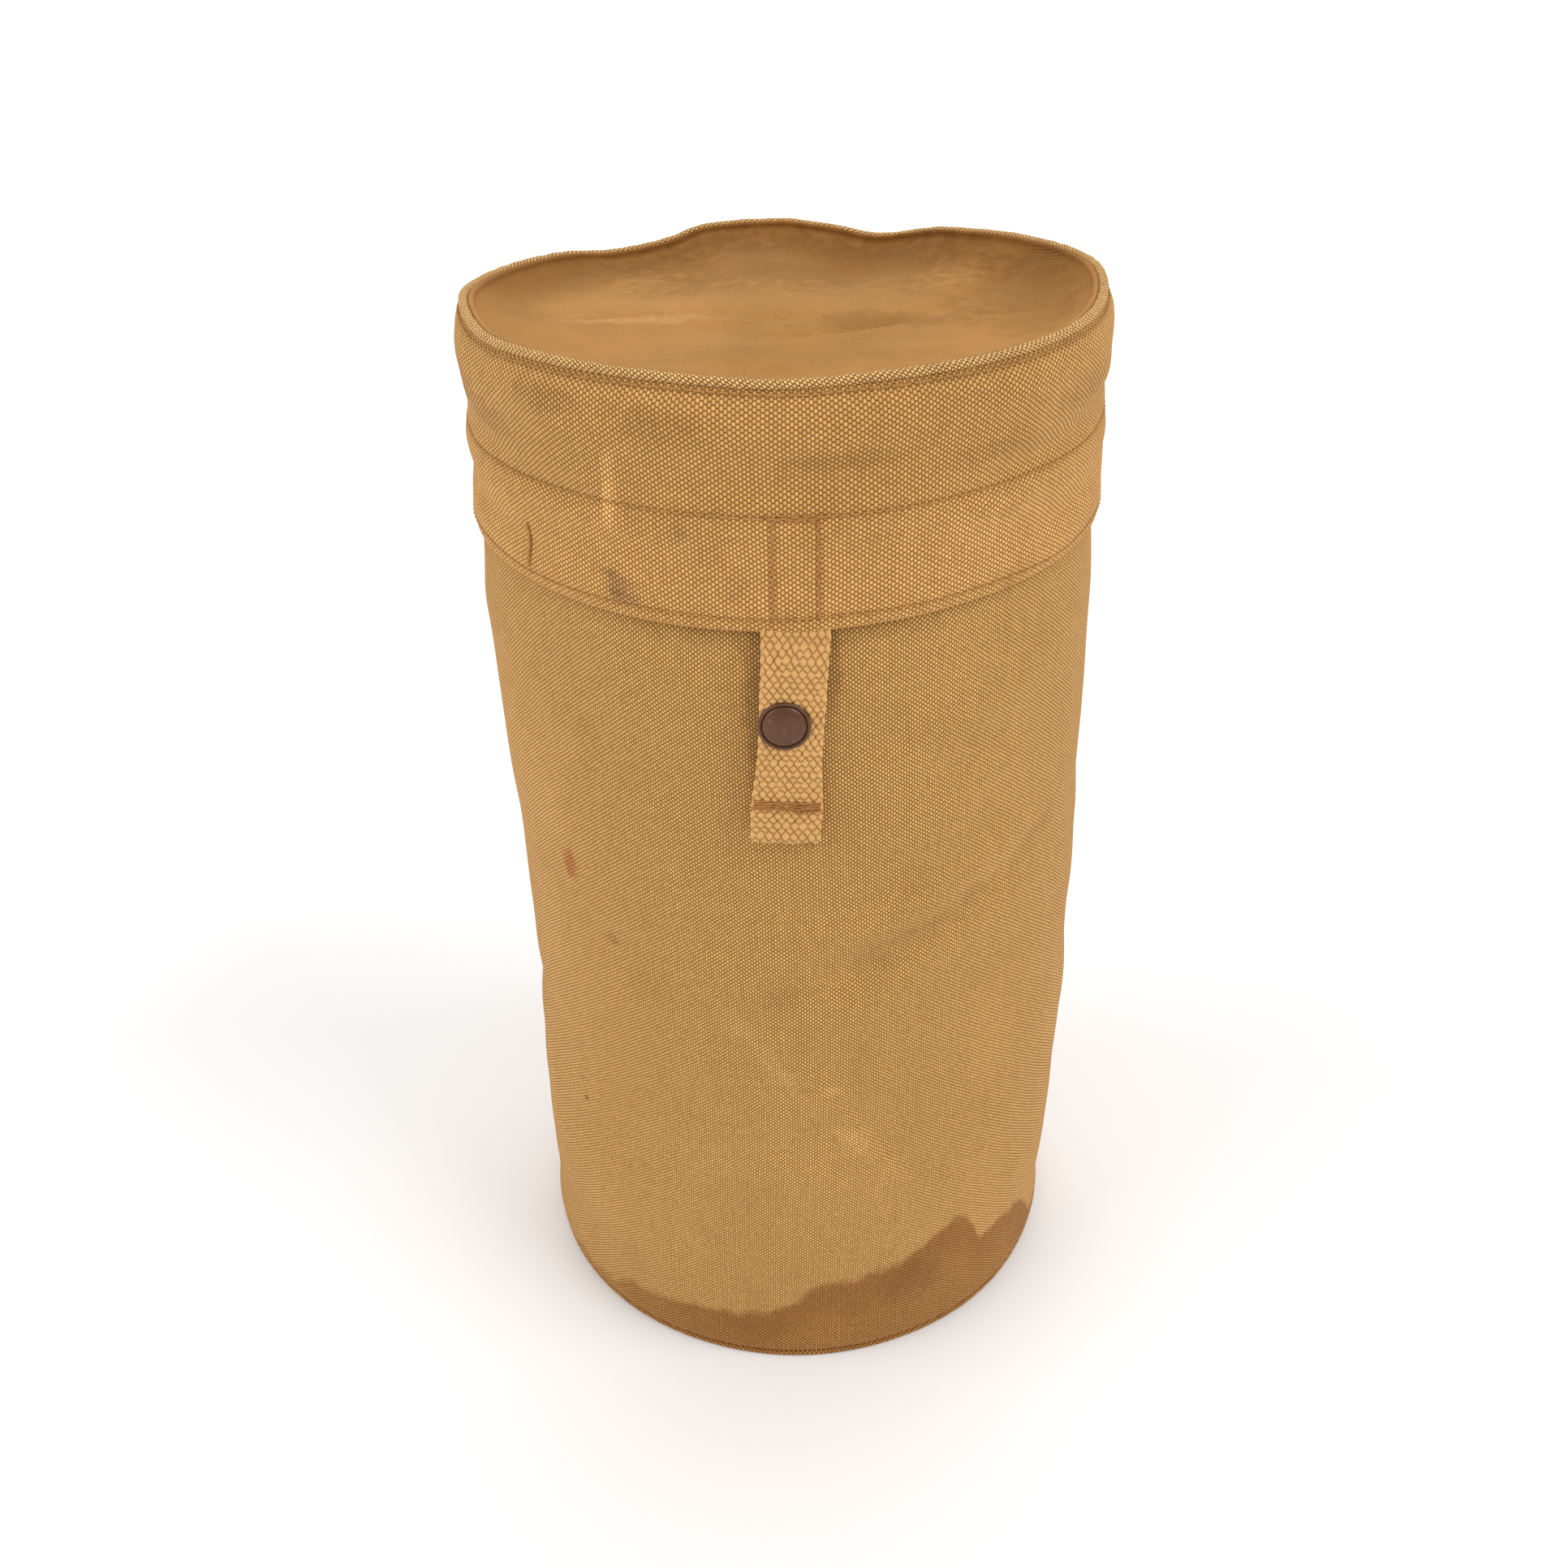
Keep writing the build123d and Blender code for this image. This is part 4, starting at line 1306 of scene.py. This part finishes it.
def thread_finish(name, light, dark):
    """Twisted sewing thread: a spiral of plies along each stitch, with painted shade in the grooves between
    them.
    """
    material, tree, add, shader = new_material(name, sheen=0.1)
    uv = add("ShaderNodeUVMap", uv_map="cloth").outputs[0]
    parts = add("ShaderNodeSeparateXYZ", {0: uv})
    spiral = maths(add, "ADD", maths(add, "MULTIPLY", parts.outputs[0], 2 * math.pi / MM),
                   maths(add, "MULTIPLY", parts.outputs[1], 6200.0))
    ply = maths(add, "ABSOLUTE", maths(add, "SINE", spiral))
    color = blended(add, ply, dark, light)
    aged = placed(add, AGE, Color=color, Fade=0.2, Blotch=0.35, Specks=0.2)
    tree.links.new(aged.outputs["Color"], shader.inputs["Base Color"])
    tree.links.new(aged.outputs["Rough"], shader.inputs["Roughness"])
    ridge = add("ShaderNodeBump", {"Height": ply, "Distance": 0.00010, "Strength": 0.8})
    tree.links.new(ridge.outputs[0], shader.inputs["Normal"])
    return material


def metal_finish(name, color, bright, metallic, rough, wear):
    """Lacquered or dulled metal with rubbed high spots and small dents."""
    material, tree, add, shader = new_material(name, rough)
    shader.inputs["Specular IOR Level"].default_value = 0.5
    place = add("ShaderNodeTexCoord").outputs["Object"]
    cloud = add("ShaderNodeTexNoise", {"Vector": place, "Scale": 420.0, "Detail": 6.0,
                                       "Roughness": 0.65}).outputs[0]
    nick = add("ShaderNodeTexNoise", {"Vector": place, "Scale": 1500.0, "Detail": 2.0}).outputs[0]
    edge = ramped(add, add("ShaderNodeNewGeometry").outputs["Pointiness"], 0.51, 0.60)
    rub = maths(add, "MULTIPLY", edge, wear)
    rub = maths(add, "MAXIMUM", rub, maths(add, "MULTIPLY", ramped(add, nick, 0.70, 0.76), wear))
    shade = blended(add, ramped(add, cloud, 0.35, 0.7), color, tuple(c * 0.72 for c in color[:3]) + (1,))
    shade = blended(add, rub, shade, bright)
    tree.links.new(shade, shader.inputs["Base Color"])
    shader.inputs["Metallic"].default_value = metallic
    gloss = maths(add, "ADD", rough - 0.08, maths(add, "MULTIPLY", cloud, 0.2))
    tree.links.new(gloss, shader.inputs["Roughness"])
    ridge = add("ShaderNodeBump", {"Height": cloud, "Distance": 0.00006, "Strength": 0.5})
    tree.links.new(ridge.outputs[0], shader.inputs["Normal"])
    return material


def stage_finish(name, color, rough):
    material, _, _, shader = new_material(name, rough)
    shader.inputs["Base Color"].default_value = color
    return material


# ---- Put it together ----

def place_piece(piece, material, body, slot, *nodes):
    piece.data.materials.clear()
    piece.data.materials.append(material)
    if nodes:
        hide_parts(*nodes)
    if body:
        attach(piece, body)
    return piece


def on_band(deg, height):
    """A place on the cap's side, for a mark."""
    return tuple(cap_surface(np.array(float(deg)), np.array(float(height))))


def on_pouch(deg, height):
    """A place on the pouch's wall, for a mark."""
    return tuple(wall_surface(np.array(float(deg)), np.array(float(height))))


# The sunk top: painted shade at its back below the rim, with soil there, painted shade along its folds and
# creases on the right and front, and painted highlights along the folds on the left.
top_shade_highlights_and_soil = [
    ((8, 62, 356), (86, 42, 30), (0.72, 0.66, 0.58, 1), 0.95),
    ((74, 10, 354), (26, 50, 30), (0.82, 0.78, 0.72, 1), 0.9),
    ((34, -2, 350), (48, 13, 20), (0.80, 0.76, 0.70, 1), 0.9),
    ((-8, -40, 350), (60, 14, 20), (0.90, 0.88, 0.84, 1), 0.8),
    ((-54, 12, 352), (34, 20, 20), (1.12, 1.16, 1.26, 1), 0.8),
    ((-46, -4, 352), (32, 4, 20), (1.24, 1.28, 1.42, 1), 0.9),
]
# Stains, specks and light scuffs on the pouch's wall, and painted shadows beside the strap and under the
# cap's hem.
wall_stains_and_shadows = [
    (on_pouch(-48, 199), (4, 8, 7), RUST_STAIN, 0.9),
    (on_pouch(-52, 94), (1.4, 2, 1.6), (0.35, 0.3, 0.3, 1), 0.9),
    (on_pouch(-74, 30), (2, 2, 2), (0.4, 0.35, 0.35, 1), 0.8),
    (on_pouch(-38, 176), (4, 4, 4), GREY_STAIN, 0.5),
    (on_pouch(5, 128), (4, 4, 3), (1.25, 1.3, 1.4, 1), 0.7),
    (on_pouch(10, 104), (6, 6, 9), (1.12, 1.16, 1.25, 1), 0.7),
    (on_pouch(24, 30), (18, 18, 13), (0.80, 0.76, 0.74, 1), 0.6),
    # Painted shadows: two strips beside the front strap, which stands off the wall, and a band just under the
    # cap's hem.
    (on_pouch(-6, HEM - 26), (4.5, 8, 34), (0.64, 0.64, 0.62, 1), 0.8),
    (on_pouch(6.5, HEM - 14), (3.5, 8, 20), (0.70, 0.70, 0.68, 1), 0.8),
    (on_pouch(0, HEM - 3), (62, 30, 6), (0.78, 0.78, 0.75, 1), 0.6),
]
# Stains, pale streaks and seam soil on the cap's side, and painted shade of the folds above its band.
band_stains_and_shading = [
    ((0, 0, HEM + 14), (400, 400, 21), (1.12, 1.12, 1.16, 1), 1.0),
    (on_band(-28.5, HEM + 9), (6, 6, 5), GREY_STAIN, 0.75),
    (on_band(-27, HEM + 5), (8, 8, 3), GREY_STAIN, 0.6),
    (on_band(-30, HEM + 12), (5, 5, 2), GREY_STAIN, 0.6),
    (on_band(-17, HEM + 27), (4, 4, 5), GREY_STAIN, 0.35),
    (on_band(-12.5, HEM + 20), (5, 5, 6), GREY_STAIN, 0.22),
    (on_band(-8.5, HEM + 13), (4, 5, 7), GREY_STAIN, 0.3),
    (on_band(-29, HEM + 37), (3, 3, 14), (1.2, 1.22, 1.3, 1), 0.9),
    (on_band(-29.5, HEM + 31), (2, 3, 10), (1.25, 1.28, 1.35, 1), 0.8),
    (on_band(ROOT_DEG - 3.6, HEM + 16), (1.2, 4, 19), SEAM_SOIL, 0.35),
    (on_band(ROOT_DEG + 3.6, HEM + 16), (1.2, 4, 19), SEAM_SOIL, 0.35),
    # Painted shade of the soft folds on the cap's upper side, together with soil there.
    (on_band(-60, HEM + 46), (26, 26, 6), FOLD_SHADE_AND_SOIL, 0.7),
    (on_band(-20, HEM + 55), (20, 14, 7), FOLD_SHADE_AND_SOIL, 0.6),
    (on_band(8, HEM + 47), (22, 14, 4), FOLD_SHADE_AND_SOIL, 0.7),
    (on_band(-72, HEM + 51), (18, 26, 8), FOLD_SHADE_AND_SOIL, 0.8),
    (on_band(-40, HEM + 58), (16, 14, 5), FOLD_SHADE_AND_SOIL, 0.7),
    (on_band(60, HEM + 50), (22, 24, 7), FOLD_SHADE_AND_SOIL, 0.6),
    (on_band(32, HEM + 43), (20, 14, 4), FOLD_SHADE_AND_SOIL, 0.5),
]

cap_seams = [(length_up(HEM + HEM_LINE), 1.1, HEM_COUNT, 0.25), (length_up(BAND_LINE), 1.1, BAND_COUNT, 0.25),
             (length_up(RIM_STITCH), 1.2, RIM_COUNT, 0.38)]
pouch_canvas = cloth_finish("pouch canvas", 0.84 * MM, 0.675 * MM, marks=wall_stains_and_shadows, painted_lines_and_water_mark=True)
cap_canvas = cloth_finish("cap canvas", 1.03 * MM, 0.72 * MM, light=(0.755, 0.405, 0.130, 1),
                          dark=(0.20, 0.086, 0.016, 1), blotch=0.42, marks=band_stains_and_shading, seams=cap_seams)
rim_canvas = cloth_finish("worn rim canvas", 0.95 * MM, 0.62 * MM, light=(0.90, 0.525, 0.200, 1),
                          dark=(0.12, 0.052, 0.010, 1))
# The top's canvas is darker than the wall's: painted shade against the stronger light on the level top,
# together with its soil and wear.
top_canvas = cloth_finish("cap top canvas", 0.86 * MM, 0.74 * MM, blotch=0.4, marks=top_shade_highlights_and_soil, rubbed=0.85,
                          sheen=0.06, light=(0.50, 0.250, 0.073, 1), dark=(0.27, 0.122, 0.029, 1))
base_canvas = cloth_finish("base canvas", 0.84 * MM, 0.73 * MM, blotch=0.6, painted_lines_and_water_mark=True)
tape = cloth_finish("seam tape", 0.6 * MM, 0.5 * MM, relief=0.00012)
strap_webbing = webbing_finish("cotton webbing")
tan_thread = thread_finish("tan thread", (0.60, 0.30, 0.09, 1), (0.27, 0.125, 0.034, 1))
brown_thread = thread_finish("brown thread", (0.54, 0.245, 0.075, 1), (0.24, 0.098, 0.026, 1))
stud_lacquer = metal_finish("bronze lacquer", (0.125, 0.050, 0.020, 1), (0.26, 0.13, 0.065, 1),
                            0.4, 0.27, 0.35)
dull_brass = metal_finish("dull brass", (0.45, 0.30, 0.12, 1), (0.70, 0.52, 0.25, 1), 1.0, 0.35, 0.6)
spring_steel = metal_finish("spring wire", (0.42, 0.42, 0.42, 1), (0.6, 0.6, 0.6, 1), 1.0, 0.3, 0.3)

pouch_wall = place_piece(make_wall(), pouch_canvas, "pouch", "canvas", "body_panel")
back_seam = place_piece(make_seam_lap(), pouch_canvas, "pouch", "canvas")
base = place_piece(make_base(), base_canvas, "pouch", "canvas", "base_disc")
place_piece(make_binding(), tape, "pouch", "binding_tape", "base_binding")
place_piece(make_patch(), pouch_canvas, "pouch", "canvas", "stud_patch")

# The stitches of the back seam follow it where the cap presses it flat.
seam_heights = np.linspace(16, MOUTH - 16, 300)
seam_lift = 0.95 - 0.54 * step(seam_heights, HEM - 3, HEM + 3)
seam_rows = []
for offset in (-3.5, 3.5):
    seam_deg = np.full(300, BACK_SEAM + math.degrees(offset / WALL_R))
    seam_points, seam_out = wall_line(seam_deg, seam_heights, seam_lift[:, None])
    seam_rows.append(sewn_row("seam_row", seam_points, seam_out, 3.0, 0.5, seed=int(offset) + 40))
place_piece(join("back_seam_stitches", seam_rows), tan_thread, "pouch", "thread", "back_seam_stitching")

place_piece(ring_of_stitches("mouth_stitches", MOUTH - 13, wall_surface, 200, 0.45, 22),
            tan_thread, "pouch", "thread", "mouth_stitching")


def tape_surface(deg, z):
    return on_wall(deg, -(binding_high[0] - 2.8) + 0 * deg, z, smooth_line(0.0, WALL_LEAN))


place_piece(ring_of_stitches("base_seam_stitches", 7.5, tape_surface, 200, 0.5, 23),
            tan_thread, "pouch", "thread", "base_stitching")

cap_side = place_piece(make_skirt(), cap_canvas, "lid", "canvas", "lid_skirt")
cap_lining = place_piece(make_facing(), cap_canvas, "lid", "canvas", "lid_facing")
cap_top = place_piece(make_top(), top_canvas, "lid", "canvas", "lid_top")
cap_rim = place_piece(make_rim(), rim_canvas, "lid", "canvas")

place_piece(ring_of_stitches("band_stitches", BAND_LINE, cap_surface, BAND_COUNT, 0.6, 24, lift=0.12),
            tan_thread, "lid", "thread", "band_stitching")
place_piece(ring_of_stitches("hem_stitches", HEM + HEM_LINE, cap_surface, HEM_COUNT, 0.58, 25, lift=0.12),
            tan_thread, "lid", "thread", "hem_stitching")
place_piece(ring_of_stitches("rim_stitches", RIM_STITCH, cap_surface, RIM_COUNT, 0.5, 26, lift=0.14),
            tan_thread, "lid", "thread", "rim_stitching")
place_piece(make_root_stitches(), brown_thread, "lid", "brown_thread", "root_stitching")
place_piece(make_bartack(), tan_thread, "lid", "brown_thread", "band_bartack")

front_strap = place_piece(make_front_strap(), strap_webbing, None, "webbing", "closure_strap", "strap_root")
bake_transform(front_strap)
place_piece(make_tip_bar(), brown_thread, "front_strap", "brown_thread", "tip_stitching")
place_piece(make_fray(), tan_thread, "front_strap", "thread")
place_piece(make_stud_cap(), stud_lacquer, "front_strap", "bronzed_brass", "stud_cap")

hinge_strap = place_piece(make_hinge_strap(), strap_webbing, None, "webbing",
                          "hinge_strap_lower", "hinge_strap_upper")
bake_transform(hinge_strap)


def behind_cap(z):
    return cap_surface(np.full(z.shape, 180.0), z)[:, 1] + 2.3


def behind_wall(z):
    return wall_surface(np.full(z.shape, 180.0), z)[:, 1] + 2.3


place_piece(rear_box("hinge_strap_cap_stitches", HEM + 9, rear_top_high[2] - 3, behind_cap),
            brown_thread, "lid", "brown_thread", "hinge_strap_upper_stitching")
place_piece(rear_box("hinge_strap_pouch_stitches", rear_low[2] + 3, HEM - 26, behind_wall),
            brown_thread, "pouch", "brown_thread", "hinge_strap_lower_stitching")

for node in ("stud", "stud_eyelet", "socket"):
    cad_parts[node].data.materials.clear()
    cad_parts[node].data.materials.append(dull_brass)
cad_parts["socket_spring"].data.materials.clear()
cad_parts["socket_spring"].data.materials.append(spring_steel)

# ---- Floor, light and camera ----

floor_mesh = bpy.data.meshes.new("floor")
reach = 14.0              # metres, so that the floor fills the view
floor_mesh.from_pydata([(-reach, -reach, 0), (reach, -reach, 0), (reach, reach, 0), (-reach, reach, 0)],
                       [], [(0, 1, 2, 3)])
floor = bpy.data.objects.new("floor", floor_mesh)
bpy.context.scene.collection.objects.link(floor)
floor.data.materials.append(stage_finish("pale floor", (0.90, 0.90, 0.90, 1), 0.95))

world = bpy.data.worlds.new("studio")
world.use_nodes = True
world.node_tree.nodes["Background"].inputs["Color"].default_value = (1, 1, 1, 1)
world.node_tree.nodes["Background"].inputs["Strength"].default_value = 0.68
bpy.context.scene.world = world


def soft_sun(name, turn, height, power, spread):
    """Broad even light from a direction: degrees round from the front, degrees above the floor."""
    lamp = bpy.data.lights.new(name, "SUN")
    lamp.energy = power
    lamp.angle = math.radians(spread)
    thing = bpy.data.objects.new(name, lamp)
    rad, up = math.radians(turn), math.radians(height)
    source = Vector((math.sin(rad) * math.cos(up), -math.cos(rad) * math.cos(up), math.sin(up)))
    thing.rotation_euler = source.to_track_quat("Z", "Y").to_euler()
    bpy.context.scene.collection.objects.link(thing)


soft_sun("right light", 66, 40, 1.20, 40)
soft_sun("left light", -74, 32, 1.02, 50)
soft_sun("top light", 170, 66, 0.7, 40)

camera_data = bpy.data.cameras.new("camera")
camera_data.sensor_width = 36.0
camera_data.lens = 36.55
camera = bpy.data.objects.new("camera", camera_data)
VIEW_FROM = (-0.0036, -0.4877, 0.4824)
PITCH = 0.5457            # radians below level
ROLL_TILT = -0.0212
camera.matrix_world = (Matrix.Translation(VIEW_FROM)
                       @ Matrix.Rotation(math.pi / 2 - PITCH, 4, "X")
                       @ Matrix.Rotation(ROLL_TILT, 4, "Z"))
camera_data.clip_start = 0.01
bpy.context.scene.collection.objects.link(camera)
bpy.context.scene.camera = camera
bpy.context.scene.view_settings.view_transform = "Standard"
